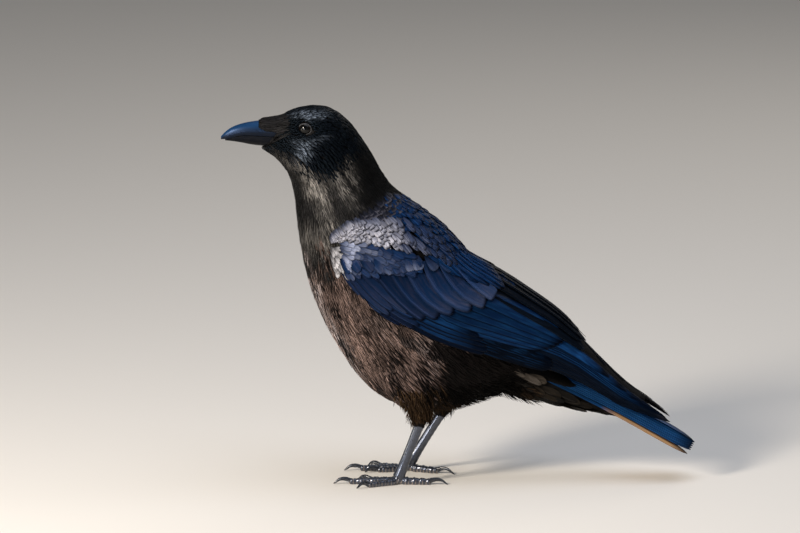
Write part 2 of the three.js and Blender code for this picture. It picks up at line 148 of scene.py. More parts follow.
def feed(node: Node, inputs: Inputs) -> None:
    """Sets and links a node's inputs.

    Args:
        node: The node.
        inputs: What each input takes, in order or by its key: a constant, a socket, or a
            node, which stands for the first output that it has in use.
    """
    for key, fed in inputs.items() if isinstance(inputs, dict) else enumerate(inputs):
        if isinstance(fed, Node):
            fed = next(socket for socket in fed.outputs if socket.enabled)
        if isinstance(fed, bpy.types.NodeSocket):
            node.id_data.links.new(fed, node.inputs[key])
        else:
            node.inputs[key].default_value = fed


def add_node(
    tree: bpy.types.NodeTree, kind: str, settings: dict[str, object] | None = None,
    inputs: Inputs = (),
) -> Node:
    """Adds one node with its settings and links.

    Args:
        tree: The tree that the node joins.
        kind: The node's type, without "ShaderNode".
        settings: Values by the name of a property.
        inputs: What its inputs take.

    Returns:
        The new node.
    """
    node = tree.nodes.new(f"ShaderNode{kind}")
    for name, value in (settings or {}).items():
        setattr(node, name, value)
    feed(node, inputs)
    return node


def new_material(name: str, constants: Inputs) -> tuple[Material, Node]:
    """Starts a material, with its constants on the shader's own sockets.

    Args:
        name: The material's name.
        constants: Values by the names of the shader's inputs.

    Returns:
        The material and its shader.
    """
    made = bpy.data.materials.new(name)
    made.use_nodes = True
    shader = made.node_tree.nodes["Principled BSDF"]
    feed(shader, constants)
    return made, shader


@dataclass(frozen=True)
class PlumageFinish:
    """Keratin feather vane: fine oily barbs with a soft gloss."""

    name: str
    vane: str
    streak: str
    rim: str
    gleam_and_wear: str = "#8d8a90"
    rim_width: float = 0.12
    rim_strength: float = 0.5
    roughness: float = 0.45
    specular: float = 0.5
    gloss_tint: str = "#ffffff"
    barb_mm: float = 1.1  # real barbs stand 0.3 to 0.5 mm apart, drawn coarser to show
    strand_mm: float = 0.9
    streak_share: float = 0.5
    web: float = 0.0  # how far the streak colour keeps to the web above the shaft
    bump: float = 0.5
    # Where along a feather its painted gleam and wear start and are whole, and their share
    # before.
    gleam_and_wear_span: Triple = (0.2, 0.85, 0.2)
    lock: bool = False  # hair-like locks show strands and no slanting barbs

    @lru_cache(maxsize=None)
    def material(self) -> Material:
        """Builds the material, once, on the vane's own maps and the tract colours.

        Returns:
            The material.
        """
        made, shader = new_material(self.name, {
            "Roughness": self.roughness, "Specular IOR Level": self.specular,
            "Specular Tint": linear(self.gloss_tint), "IOR": KERATIN_IOR,
        })
        node = partial(add_node, made.node_tree)
        (over, along), (out, down) = (
            node("SeparateXYZ", None, [
                node("UVMap", {"uv_map": name})
            ]).outputs[:2]
            for name in ("vane", "barb")
        )
        tract = node("Attribute", {"attribute_name": "tract"})
        tone, gleam_and_wear, chance = node("SeparateColor", None, [tract.outputs["Color"]]).outputs
        # Strands run along the vane, so their noise is stretched that way.
        scales = (
            (out, BARB_UNIT / self.strand_mm), (down, STRAND_STRETCH / self.strand_mm),
            (chance, APART),
        )
        strand_at = node("CombineXYZ", None, [node("Math", TIMES, pair) for pair in scales])
        strands = node("TexNoise", None, {
            "Vector": strand_at, "Scale": 1.0, "Detail": 2.0, "Roughness": 0.6
        })
        share = node("MapRange", None, [strands, *NOISE_SPAN, 0.0, self.streak_share])
        inner_web = node("Math", TIMES_PLUS, [over, 2 * self.web, 1 - self.web])
        streak = node("Math", TIMES, [share, inner_web])
        streaked = node("Mix", COLOURS, {
            FACTOR: streak, FIRST: linear(self.vane), SECOND: linear(self.streak)
        })
        # Painted glare, and wear, show on the open end of a feather more than on its
        # covered root.
        gleam_and_wear_span = node("MapRange", None, [along, *self.gleam_and_wear_span, 1.0])
        patchy = node("Math", TIMES_PLUS, [strands, *PATCHY])
        gleam_and_wear_share = node("Math", TIMES, [patchy, gleam_and_wear_span])
        gleam = node("Math", TIMES, [gleam_and_wear, gleam_and_wear_share])
        silvered = node("Mix", COLOURS, {
            FACTOR: gleam, FIRST: streaked, SECOND: linear(self.gleam_and_wear)
        })
        # A dark rim on the edges and tip also paints the shadow line where one feather lies
        # over the next.
        off_middle = node("Math", TIMES_PLUS, [over, 2.0, -1.0])
        off_middle = node("Math", {"operation": "ABSOLUTE"}, [off_middle])
        near_tip = node("Math", {"operation": "SUBTRACT"}, [along, 0.02])
        edge = node("Math", {"operation": "MAXIMUM"}, [off_middle, near_tip])
        rim = node("MapRange", None, [
            edge, 1 - self.rim_width, 1 - self.rim_width * RIM_CORE, 0.0,
            self.rim_strength,
        ])
        rimmed = node("Mix", COLOURS, {
            FACTOR: rim, FIRST: silvered, SECOND: linear(self.rim)
        })
        # Each feather has its own depth of colour; its covered root gets painted shade.
        own = node("Math", TIMES_PLUS, [tone, *DEPTH_OF_TONE])
        covered_root_shade = node("MapRange", None, [along, 0.0, DOWN_SHARE, DOWN_SHADE, 1.0])
        depth = node("Math", TIMES, [own, covered_root_shade])
        shaded = node("VectorMath", {"operation": "SCALE"}, {0: rimmed, "Scale": depth})
        height = strands
        if not self.lock:
            across = node("Math", {"operation": "ABSOLUTE"}, [out])
            swept = node("Math", TIMES, [across, BARB_SLANT])
            slant = node("Math", {"operation": "SUBTRACT"}, [down, swept])
            turn = node("Math", TIMES, [slant, BARB_UNIT * FULL_TURN / self.barb_mm])
            ripple = node("Math", {"operation": "SINE"}, [turn])
            height = node("Math", TIMES_PLUS, [ripple, 0.35, strands])
        bump = node("Bump", None, {
            "Height": height, "Strength": self.bump, "Distance": 0.25 * MM
        })
        feed(shader, {"Base Color": shaded, "Normal": bump})
        return made


# Black head feathers: short, dense and oily, so they gleam blue-black.
HEAD = PlumageFinish(
    "head_plumage", "#020304", "#0a1118", "#030508", gleam_and_wear="#737d8a",
    roughness=0.42, specular=0.1, gloss_tint="#a4c0dc", bump=0.3, lock=True,
)
# Hackles of the throat and neck: narrow, grey at their ends with wear and a painted gleam.
HACKLE = PlumageFinish(
    "hackle_plumage", "#101011", "#3b3938", "#1b1917", gleam_and_wear="#a09b94",
    roughness=0.5, specular=0.1, streak_share=0.6, bump=0.3, lock=True,
)
# Breast and belly feathers: loose brown-black barbs with paler ends, partly worn and partly
# a painted gleam.
BREAST = PlumageFinish(
    "breast_plumage", "#4e4039", "#98817a", "#4c3f38", gleam_and_wear="#b9adab",
    roughness=0.6, specular=0.07, streak_share=0.6, bump=0.25, strand_mm=0.7, lock=True,
)
# Down of the thighs and vent: dull, dark and soft.
DOWN = PlumageFinish(
    "thigh_plumage", "#261b11", "#59452f", "#1a1410", gleam_and_wear="#6b5d50",
    roughness=0.7, specular=0.04, streak_share=0.55, lock=True,
)
# Scapulars: firm rounded vanes with painted lilac-grey highlights, and dark rims that
# partly paint shadow.
SCAPULAR = PlumageFinish(
    "scapular_plumage", "#0c1a34", "#22375a", "#06070c", gleam_and_wear="#c2c1ca",
    rim_width=0.2, rim_strength=0.95, roughness=0.42, specular=0.16,
    gloss_tint="#c8d0f0", bump=0.4, barb_mm=1.2,
)
# Bend of the wing: soft scales with pale down edges, paler still with a painted highlight.
SHOULDER_DOWN = PlumageFinish(
    "shoulder_down", "#23242b", "#55555a", "#2b2a2b", gleam_and_wear="#c3c2c6", rim_width=0.22,
    rim_strength=0.45, roughness=0.6, specular=0.1, bump=0.4, strand_mm=0.7,
)
# Mantle: smaller dark vanes with worn paler rims.
MANTLE = PlumageFinish(
    "mantle_plumage", "#0c0d13", "#26262d", "#5a5962", gleam_and_wear="#6c6f7c", rim_width=0.22,
    rim_strength=0.4, specular=0.1, gloss_tint="#b6c6f2", bump=0.4, barb_mm=1.2,
)
# Upper back: blue-violet gloss over black.
BACK = PlumageFinish(
    "back_plumage", "#05142c", "#123a68", "#020306", gleam_and_wear="#56648c",
    rim_width=0.2, rim_strength=0.6, roughness=0.4, specular=0.09,
    gloss_tint="#6f9cff", streak_share=0.7, bump=0.35, strand_mm=1.2,
)
# Wing coverts: smooth broad vanes, violet-blue.
COVERT = PlumageFinish(
    "covert_plumage", "#0a2342", "#292f47", "#010204", gleam_and_wear="#9aa0b4", rim_width=0.08,
    rim_strength=0.95, roughness=0.4, specular=0.12, gloss_tint="#86a4ff",
    streak_share=0.75, web=0.6, bump=0.25, strand_mm=2.4, gleam_and_wear_span=(0.45, 0.95, 0.12),
)
# Lesser coverts: small and soft-edged, so they run together in streaks with painted pale
# highlights.
LESSER_COVERT = replace(
    COVERT, name="lesser_covert_plumage", rim="#050a18", rim_width=0.14,
    rim_strength=0.55, strand_mm=1.4, gleam_and_wear_span=(0.3, 0.95, 0.2),
)
# Flight feathers: long stiff vanes, deep glossy blue with black inner webs, whose dark rims
# also paint the shadow lines between stacked feathers.
FLIGHT = PlumageFinish(
    "flight_plumage", "#0a2444", "#17406c", "#010204", gleam_and_wear="#5a4431",
    rim_width=0.42, rim_strength=0.98, roughness=0.36, specular=0.15,
    gloss_tint="#6aa0ff", streak_share=0.6, bump=0.2, barb_mm=1.3, strand_mm=1.8,
)
# Inner secondaries: broader, and violet-blue towards the back.
INNER_FLIGHT = replace(
    FLIGHT, name="inner_flight_plumage", vane="#0a2140", streak="#153c62", rim_width=0.14,
)
# Tail feathers: the same vanes, square-ended, a greener blue.
TAIL_VANE = replace(
    FLIGHT, name="tail_plumage", vane="#14355a", streak="#1f4f80", gleam_and_wear="#a98050",
    rim_width=0.12, rim_strength=0.8, bump=0.1, gleam_and_wear_span=(0.5, 0.6, 0.0),
)
# Tertials: near black, with a thin pale worn margin.
TERTIAL = PlumageFinish(
    "tertial_plumage", "#05090f", "#111c2a", "#2c2f38", gleam_and_wear="#3c3850",
    rim_width=0.05, rim_strength=0.6, roughness=0.4, specular=0.05,
    gloss_tint="#a3b3e8", streak_share=0.4, bump=0.2, barb_mm=1.3, strand_mm=1.6,
)
# Outermost primaries: black, with thin dull edges.
BLACK_FLIGHT = replace(
    FLIGHT, name="black_flight_plumage", vane="#060a11", streak="#0e1826",
    rim="#212227", rim_width=0.1, rim_strength=0.7, specular=0.06,
)
# Lowest secondaries: black vanes that show only a thin blue line each.
DARK_FLIGHT = replace(
    FLIGHT, name="dark_flight_plumage", vane="#04080f", streak="#12355a",
    rim_width=0.3, specular=0.07,
)
# Undertail coverts: soft broad vanes, olive-brown black with pale grey-brown ends.
UNDERTAIL_FINISH = PlumageFinish(
    "undertail_plumage", "#120e08", "#2a2014", "#2c261f", gleam_and_wear="#8b8177",
    rim_strength=0.35, roughness=0.55, specular=0.06, bump=0.4,
)
# Nasal bristles: hair-like shafts, brownish black.
BRISTLE = PlumageFinish(
    "bristle_plumage", "#070707", "#1f1d20", "#0b0a0a", gleam_and_wear="#45352e",
    roughness=0.5, specular=0.09, streak_share=0.6, bump=0.3, lock=True,
)


@dataclass(frozen=True)
class HardFinish:
    """Horn, scute or skin: solid keratin with mottling and fine relief."""

    name: str
    base: str
    mottle: str
    grain_mm: float = 1.5
    roughness: float = 0.3
    coat: float = 0.0
    bump: float = 0.25
    bump_mm: float = 0.12
    stretch: Triple = (1.0, 1.0, 1.0)
    share: float = 0.7
    tint: str = "#ffffff"
    specular: float = 0.5
    top: str | None = None  # painted reflection colour where the mesh's "lit" attribute is 1
    groove: str | None = None  # dust where its "groove" attribute is 1

    @lru_cache(maxsize=None)
    def material(self) -> Material:
        """Builds the material, once, on object coordinates.

        Returns:
            The material.
        """
        made, shader = new_material(self.name, {
            "Coat Weight": self.coat, "Coat Roughness": 0.12, "IOR": KERATIN_IOR,
            "Specular Tint": linear(self.tint), "Specular IOR Level": self.specular,
        })
        node = partial(add_node, made.node_tree)
        laid = node("Mapping", None, {
            "Vector": node("TexCoord").outputs["Object"], "Scale": self.stretch
        })
        grain = node("TexNoise", None, {
            "Vector": laid, "Scale": 1 / (self.grain_mm * MM), "Detail": 4.0,
            "Roughness": 0.6,
        })
        share = node("MapRange", None, [grain, *MOTTLE_SPAN, 0.0, self.share])
        seen = node("Mix", COLOURS, {
            FACTOR: share, FIRST: linear(self.base), SECOND: linear(self.mottle)
        })
        for hue, told in ((self.top, "lit"), (self.groove, "groove")):
            if hue:
                marked = node("Attribute", {"attribute_name": told})
                seen = node("Mix", COLOURS, {
                    FACTOR: marked.outputs["Fac"], FIRST: seen,
                    SECOND: linear(hue),
                })
        rough = node("MapRange", None, {
            0: grain, 3: self.roughness * 0.8, 4: self.roughness * 1.3
        })
        bump = node("Bump", None, {
            "Height": grain, "Strength": self.bump, "Distance": self.bump_mm * MM
        })
        feed(shader, {"Base Color": seen, "Roughness": rough, "Normal": bump})
        return made


# Bill sheath: polished black horn with a painted blue reflection of the sky on its upper
# sides, dark below, with faint lengthwise growth marks.
BILL_HORN = HardFinish(
    "bill_horn", "#050506", "#10100f", grain_mm=2.2, bump=0.3, bump_mm=0.1,
    stretch=(0.25, 1, 1), tint="#9dbcf5", specular=0.22, top="#112e4e",
)
LOWER_HORN = replace(
    BILL_HORN, name="lower_bill_horn", base="#0a0908", mottle="#171511", roughness=0.42,
    specular=0.1, top=None,
)
# Claws: the same horn, scuffed by the ground.
CLAW_HORN = HardFinish(
    "claw_horn", "#0e1118", "#30343d", grain_mm=1.6, roughness=0.24, coat=0.3, bump=0.3
)
# Leg scutes: blue-black plates with a dull polish, dark in their joints.
SCUTE = HardFinish(
    "leg_scutes", "#0b0f16", "#363a44", grain_mm=2.4, roughness=0.28, coat=0.8,
    bump=0.12, bump_mm=0.1, share=0.6, tint="#dbe6ff", specular=0.8, groove="#0a0a0c",
)
# Toe scutes: the same, with pale dust in their joints.
TOE_SCUTE = replace(SCUTE, name="toe_scutes", mottle="#383c46", groove="#8a7a6b")
# Bare skin between the feather roots.
SKIN = HardFinish(
    "black_skin", "#070606", "#110e0d", grain_mm=1.2, roughness=0.7, bump=0.5,
    bump_mm=0.2, specular=0.1,
)
# Eyelid edges: bare grey skin, finely beaded.
LID = HardFinish(
    "eyelid_skin", "#0e0f11", "#54565a", grain_mm=0.7, roughness=0.5, bump=0.6,
    bump_mm=0.2, specular=0.25,
)


def eye_material() -> Material:
    """Returns the eye's material: wet cornea over a dark brown iris and black pupil."""
    gloss = {"Roughness": 0.06, "Specular IOR Level": 0.28}
    made, shader = new_material("wet_cornea", gloss)
    node = partial(add_node, made.node_tree)
    place = node("UVMap", {"uv_map": "iris"})
    spread = node("Mapping", None, {"Vector": place, "Scale": (70.0, 6.0, 1.0)})
    spokes = node("TexNoise", None, {"Vector": spread, "Scale": 1.0, "Detail": 3.0})
    iris = node("Mix", COLOURS, {
        FACTOR: spokes, FIRST: linear("#070504"), SECOND: linear("#150d08")
    })
    out = node("SeparateXYZ", None, [place]).outputs[1]
    ring = node("ValToRGB", None, [out])
    # Black pupil, then the iris, then the dark rim under the lids.
    stops = ring.color_ramp.elements
    stops[0].position, stops[0].color = 0.42, (0, 0, 0, 1)
    stops[1].position, stops[1].color = 0.47, (1, 1, 1, 1)
    for off, grey in ((0.80, 0.8), (0.92, 0.05)):
        stops.new(off).color = (grey, grey, grey, 1)
    seen = node("Mix", COLOURS, {FACTOR: ring, FIRST: linear("#020202"), SECOND: iris})
    feed(shader, {"Base Color": seen})
    return made


# -------- meshes
def settle(piece: Object, slot: str, *nodes: str) -> None:
    """Puts a piece on the bird, and hides the nodes that it stands for.

    Args:
        piece: The finished piece.
        slot: The record's material slot. It is not used.
        nodes: The frame's nodes that it replaces.
    """
    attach(piece, BODY)
    if nodes:
        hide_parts(*nodes)


def linked(name: str, data: bpy.types.ID | None) -> Object:
    """Makes an object at the origin and links it to the scene.

    Args:
        name: Its name.
        data: Its mesh, lamp or camera.

    Returns:
        The object.
    """
    made = bpy.data.objects.new(name, data)
    bpy.context.scene.collection.objects.link(made)
    return made


def finish_mesh(name: str, bm: BMesh, material: Material, smooth: bool = True) -> Object:
    """Turns a bmesh in millimetres to a finished object in metres.

    Args:
        name: The piece's name.
        bm: The shape, which is freed.
        material: Its finish.
        smooth: Whether its faces are shaded smooth.

    Returns:
        The object, linked to the scene.
    """
    bmesh.ops.scale(bm, vec=(MM, MM, MM), verts=bm.verts)
    bmesh.ops.recalc_face_normals(bm, faces=bm.faces)
    for face in bm.faces:
        face.smooth = smooth
    mesh = bpy.data.meshes.new(name)
    bm.to_mesh(mesh)
    bm.free()
    mesh.materials.append(material)
    log.info("%s: %d faces", name, len(mesh.polygons))
    return linked(name, mesh)


def prism(sides: int, rings: int) -> tuple[BMesh, list[tuple[int, int]]]:
    """Makes an upright prism cut in rings, whose points are then moved one by one.

    Args:
        sides: Points round a ring.
        rings: How many rings there are.

    Returns:
        The bmesh, and the ring and side that each vertex is on.
    """
    bm = bmesh.new()
    bmesh.ops.create_cone(bm, cap_ends=True, segments=sides, radius1=1, radius2=1, depth=1)
    upright = [e for e in bm.edges if abs(e.verts[0].co.z - e.verts[1].co.z) > 0.5]
    bmesh.ops.subdivide_edges(bm, edges=upright, cuts=rings - 2)
    bm.verts.index_update()
    step = FULL_TURN / sides
    return bm, [
        (
            round((vert.co.z + 0.5) * (rings - 1)),
            round(math.atan2(vert.co.y, vert.co.x) / step) % sides,
        )
        for vert in bm.verts
    ]


def ringed_solid(rings: np.ndarray) -> BMesh:
    """Makes a closed solid whose skin runs through rings of points.

    Args:
        rings: Points by ring, side and axis, in millimetres.

    Returns:
        The bmesh.
    """
    bm, places = prism(rings.shape[1], rings.shape[0])
    for vert, place in zip(bm.verts, places):
        vert.co = Vector(rings[place])
    return bm


def around(count: int) -> np.ndarray:
    """Returns angles evenly round a circle, the first at 0."""
    return np.arange(count) / count * FULL_TURN


def tube_rings(
    middles: Places, across: Row, half_width: np.ndarray, half_depth: np.ndarray, sides: int
) -> np.ndarray:
    """Works out the rings of a tube of ellipses.

    Args:
        middles: The tube's middle line.
        across: The direction that a section's width is nearest to.
        half_width: Half width at each ring, or at each ring and side.
        half_depth: Half depth at each ring, or at each ring and side.
        sides: Points round a ring. The first lies out along the width.

    Returns:
        Points by ring, side and axis.
    """
    along = unit(np.gradient(middles, axis=0))
    wanted = np.asarray(across, float)
    level = unit(wanted - along * (along @ wanted)[:, None])
    up = np.cross(along, level)
    turn = around(sides)
    wide = np.atleast_2d(half_width.T).T * np.cos(turn)
    deep = np.atleast_2d(half_depth.T).T * np.sin(turn)
    return (
        middles[:, None] + level[:, None] * wide[..., None] + up[:, None] * deep[..., None]
    )


# -------- surfaces for feathers
def read(items: bpy.types.bpy_prop_collection, name: str, width: int) -> np.ndarray:
    """Reads one property of a mesh's vertices, loops or triangles.

    Args:
        items: The collection.
        name: The property's name.
        width: How many numbers each item has.

    Returns:
        One row for each item: whole numbers, or real ones for a place.
    """
    kind = np.float32 if name in ("co", "vector") else np.int32
    flat = np.empty(len(items) * width, kind)
    items.foreach_get(name, flat)
    return flat.reshape(-1, width)


def write(items: bpy.types.bpy_prop_collection, name: str, values: np.ndarray) -> None:
    """Writes real numbers to one property of a collection, and whole ones as they are."""
    kind = np.float32 if values.dtype.kind == "f" else values.dtype
    items.foreach_set(name, values.astype(kind).ravel())


def side_shares(places: Places, spots: np.ndarray, reach: float) -> np.ndarray:
    """Works out how much each spot of a table counts at each place.

    Args:
        places: The places.
        spots: The spots' x and z on the side view.
        reach: How far round a spot it holds.

    Returns:
        Shares by place and spot, which add up to 1 at each place.
    """
    gap = ((places[:, None, [0, 2]] - spots[None]) ** 2).sum(-1)
    share = 1 / (gap + reach**2) ** 2
    return share / share.sum(1, keepdims=True)


class Surface:
    """A form in millimetres that feathers are laid on."""

    def __init__(self, points: Places, triangles: np.ndarray) -> None:
        """Stores the form and builds its search tree.

        Args:
            points: Its vertices.
            triangles: Each triangle's three vertex numbers.
        """
        self.points = points
        self.triangles = triangles
        self.tree = BVHTree.FromPolygons(
            points.tolist(), triangles.tolist(), all_triangles=True
        )
        a, b, c = (points[triangles[:, i]] for i in range(3))
        self.crosses = np.cross(b - a, c - a)
        self.areas = np.linalg.norm(self.crosses, axis=1) / 2
        self.normals = np.zeros_like(points)
        for i in range(3):
            np.add.at(self.normals, triangles[:, i], self.crosses)
        self.normals = unit(self.normals)

    @classmethod
    def of(cls, obj: Object) -> Surface:
        """Reads a surface off an object.

        Args:
            obj: The object, whose mesh is in metres.

        Returns:
            The surface of the mesh as it stands.
        """
        mesh = obj.data
        mesh.calc_loop_triangles()
        points = read(mesh.vertices, "co", 3).astype(float) / MM
        return cls(points, read(mesh.loop_triangles, "vertices", 3))

    def weights(self, places: Places, faces: np.ndarray) -> np.ndarray:
        """Works out how much each corner of its face counts at each place.

        Args:
            places: Places on the form.
            faces: The number of the face that each one is on.

        Returns:
            Three shares for each place.
        """
        a, b, c = (self.points[self.triangles[faces, i]] for i in range(3))
        whole = self.crosses[faces]
        size = np.maximum((whole**2).sum(1), 1e-12)
        first = (np.cross(c - b, places - b) * whole).sum(1) / size
        second = (np.cross(a - c, places - c) * whole).sum(1) / size
        first, second = np.clip(first, 0, 1), np.clip(second, 0, 1)
        return np.stack([first, second, np.clip(1 - first - second, 0, 1)], 1)

    def nearest(self, places: Places) -> tuple[Places, Places, np.ndarray]:
        """Finds the nearest points of the form.

        Args:
            places: Where to look from, in any shape that ends in three axes.

        Returns:
            The points, the smooth normals there and the faces' numbers.
        """
        found = [self.tree.find_nearest(p) for p in places.reshape(-1, 3).tolist()]
        on = np.array([f[0] for f in found])
        faces = np.array([f[2] for f in found])
        share = self.weights(on, faces)
        normals = unit((self.normals[self.triangles[faces]] * share[..., None]).sum(1))
        return on.reshape(places.shape), normals.reshape(places.shape), faces


class Lies:
    """How feathers lie over a form: a table of places in the side view.

    Each row has x, z, the heading in degrees (0 to the tail, -90 down), and the
    feathers' length, width and spacing in millimetres.
    """

    def __init__(self, rows: Sequence[Row], reach: float = 9.0) -> None:
        """Stores the table.

        Args:
            rows: Its rows.
            reach: How far round a row its values hold.
        """
        table = np.asarray(rows, float)
        self.spots = table[:, :2]
        turn = np.radians(table[:, 2])
        self.values = np.column_stack([np.cos(turn), np.sin(turn), table[:, 3:]])
        self.reach = reach

    def at(self, places: Places) -> np.ndarray:
        """Returns each place's heading as x and z, then length, width and spacing."""
        return side_shares(places, self.spots, self.reach) @ self.values

    def headings(self, places: Places) -> Places:
        """Returns the headings at places as vectors in space."""
        found = self.at(places)
        return unit(np.column_stack([found[:, 0], np.zeros(len(found)), found[:, 1]]))


def scatter(
    surface: Surface, lies: Lies, keep: Callable[[Places], np.ndarray], rng: Generator,
) -> Places:
    """Scatters feather roots evenly, as close as their spacing says.

    Args:
        surface: The form that they stand on.
        lies: Gives the spacing at each place.
        keep: Says which places take a feather.
        rng: The random draws.

    Returns:
        The roots.
    """
    tries_each, closest = 9.0, 0.93  # tries for each feather, and share of the spacing
    corners = surface.points[surface.triangles]
    middles = corners.mean(1)
    spacing = lies.at(middles)[:, 4]
    load = np.where(keep(middles), surface.areas / spacing**2, 0)
    count = int(load.sum() * tries_each)
    chosen = rng.choice(len(load), count, p=load / load.sum())
    a, b = rng.random((2, count, 1))
    flip = a + b > 1
    a, b = np.where(flip, 1 - a, a), np.where(flip, 1 - b, b)
    first, second, third = np.moveaxis(corners[chosen], 1, 0)
    tries = first + a * (second - first) + b * (third - first)
    tree = KDTree(count)
    listed = tries.tolist()
    for i, place in enumerate(listed):
        tree.insert(place, i)
    tree.balance()
    reach = (lies.at(tries)[:, 4] * closest).tolist()
    free = np.ones(count, bool)
    kept = []
    for i, place in enumerate(listed):
        if free[i]:
            kept.append(i)
            for _, j, _ in tree.find_range(place, reach[i]):
                free[j] = False
    return tries[kept]


# -------- feather shapes
class Cut(Enum):
    """A feather's cross-section, as points across and above its rims, closed below."""

    LOCK = ((-1, 0), (0, 1), (1, 0))
    VANE = ((-1, 0), (-0.55, 0.75), (0, 1), (0.55, 0.75), (1, 0), (0, -0.35))
    QUILL = (
        (-1, 0), (-0.6, 0.45), (-0.1, 0.66), (0, 1.1), (0.1, 0.66), (0.6, 0.45), (1, 0),
        (0, -0.3),
    )


@dataclass(frozen=True)
class Pattern:
    """A feather shape's vertices and faces, which every copy shares."""

    station: np.ndarray  # each vertex's number along the feather
    across: np.ndarray
    high: np.ndarray
    loops: np.ndarray  # the faces' vertex numbers, one after another
    sizes: np.ndarray  # how many vertices each face has
    smooth: np.ndarray


@dataclass(frozen=True)
class FeatherShape:
    """One feather's outline and section, which every copy stretches and bends."""

    cut: Cut
    stations: tuple[float, ...]  # along the feather, from 0 at its root to 1
    outline: tuple[float, ...]  # half width at each station, as a share
    ridge: tuple[float, ...]  # ridge height at each station, as a share

    @lru_cache(maxsize=None)
    def pattern(self) -> Pattern:
        """Makes the shape once from a prism and reads it off.

        Returns:
            The shape's pattern.
        """
        section = self.cut.value
        bm, places = prism(len(section), len(self.stations))
        tops = sum(1 for point in section if point[1] > 0) + 2
        bmesh.ops.triangulate(bm, faces=[f for f in bm.faces if len(f.verts) > 4])
        # A prism's section turns the other way from the list, so its faces are flipped.
        faces = [[v.index for v in f.verts][::-1] for f in bm.faces]
        bm.free()
        smooth = []
        for face in faces:
            rings, used = ({places[i][k] for i in face} for k in (0, 1))
            next_to = max(used) - min(used) == 1
            smooth.append(len(rings) > 1 and max(used) < tops and next_to)
        across, high = np.array([section[side] for _, side in places], float).T
        return Pattern(
            np.array([ring for ring, _ in places]), across, high, np.concatenate(faces),
            np.array([len(f) for f in faces]), np.array(smooth),
        )


POINTED = FeatherShape(
    Cut.LOCK, (0, 0.3, 0.6, 0.85, 1), (0.5, 0.9, 1, 0.6, 0.05), (0.6, 1, 1, 0.7, 0.1),
)
SCALE = FeatherShape(
    Cut.VANE, (0, 0.35, 0.62, 0.82, 0.94, 1), (0.3, 0.75, 1, 0.95, 0.62, 0.18),
    (0.5, 1, 1, 0.85, 0.6, 0.25),
)
LONG_COVERT = FeatherShape(
    Cut.VANE, (0, 0.2, 0.4, 0.6, 0.78, 0.9, 0.97, 1),
    (0.45, 0.75, 0.95, 1, 0.95, 0.72, 0.42, 0.12), (0.6, 1, 1, 1, 0.9, 0.7, 0.5, 0.2),
)
ROUND_COVERT = FeatherShape(
    Cut.VANE, (0, 0.3, 0.55, 0.75, 0.88, 0.96, 1), (0.5, 0.85, 1, 0.94, 0.76, 0.48, 0.15),
    (0.6, 1, 1, 0.9, 0.7, 0.45, 0.2),
)
BLUNT_COVERT = FeatherShape(
    Cut.VANE, (0, 0.2, 0.4, 0.6, 0.8, 0.9, 0.965, 1),
    (0.75, 0.95, 1, 1, 1, 0.98, 0.85, 0.45), (0.6, 1, 1, 1, 0.9, 0.7, 0.5, 0.2),
)
TILE = FeatherShape(
    Cut.VANE, (0, 0.4, 0.7, 0.87, 0.96, 1), (0.4, 0.8, 1, 0.98, 0.78, 0.42),
    (0.5, 1, 1, 0.85, 0.6, 0.25),
)
FLIGHT_VANE = FeatherShape(
    Cut.QUILL, (0, 0.12, 0.24, 0.36, 0.48, 0.6, 0.7, 0.8, 0.88, 0.94, 0.98, 1),
    (0.55, 0.8, 0.92, 1, 1, 1, 0.98, 0.94, 0.84, 0.64, 0.36, 0.1),
    (1, 1, 1, 1, 0.95, 0.9, 0.85, 0.78, 0.7, 0.6, 0.5, 0.3),
)
TAPERED_VANE = replace(
    FLIGHT_VANE, outline=(0.6, 0.9, 1, 1, 0.97, 0.92, 0.84, 0.72, 0.56, 0.38, 0.2, 0.05),
)
TAIL_SHAPE = replace(
    FLIGHT_VANE,
    outline=(0.5, 0.66, 0.76, 0.84, 0.9, 0.95, 0.98, 1, 0.96, 0.78, 0.46, 0.08),
)


@dataclass
class Feathers:
    """A batch of feathers of one shape: their middle lines, normals and sizes."""

    shape: FeatherShape
    line: np.ndarray  # n x stations x 3
    normal: np.ndarray  # n x stations x 3
    width: np.ndarray  # half width
    ridge: np.ndarray  # ridge height
    tone: np.ndarray
    gleam_and_wear: np.ndarray
    roll: np.ndarray  # radians, the right rim up
    lean: np.ndarray | None = None  # share of the width on each side of the shaft


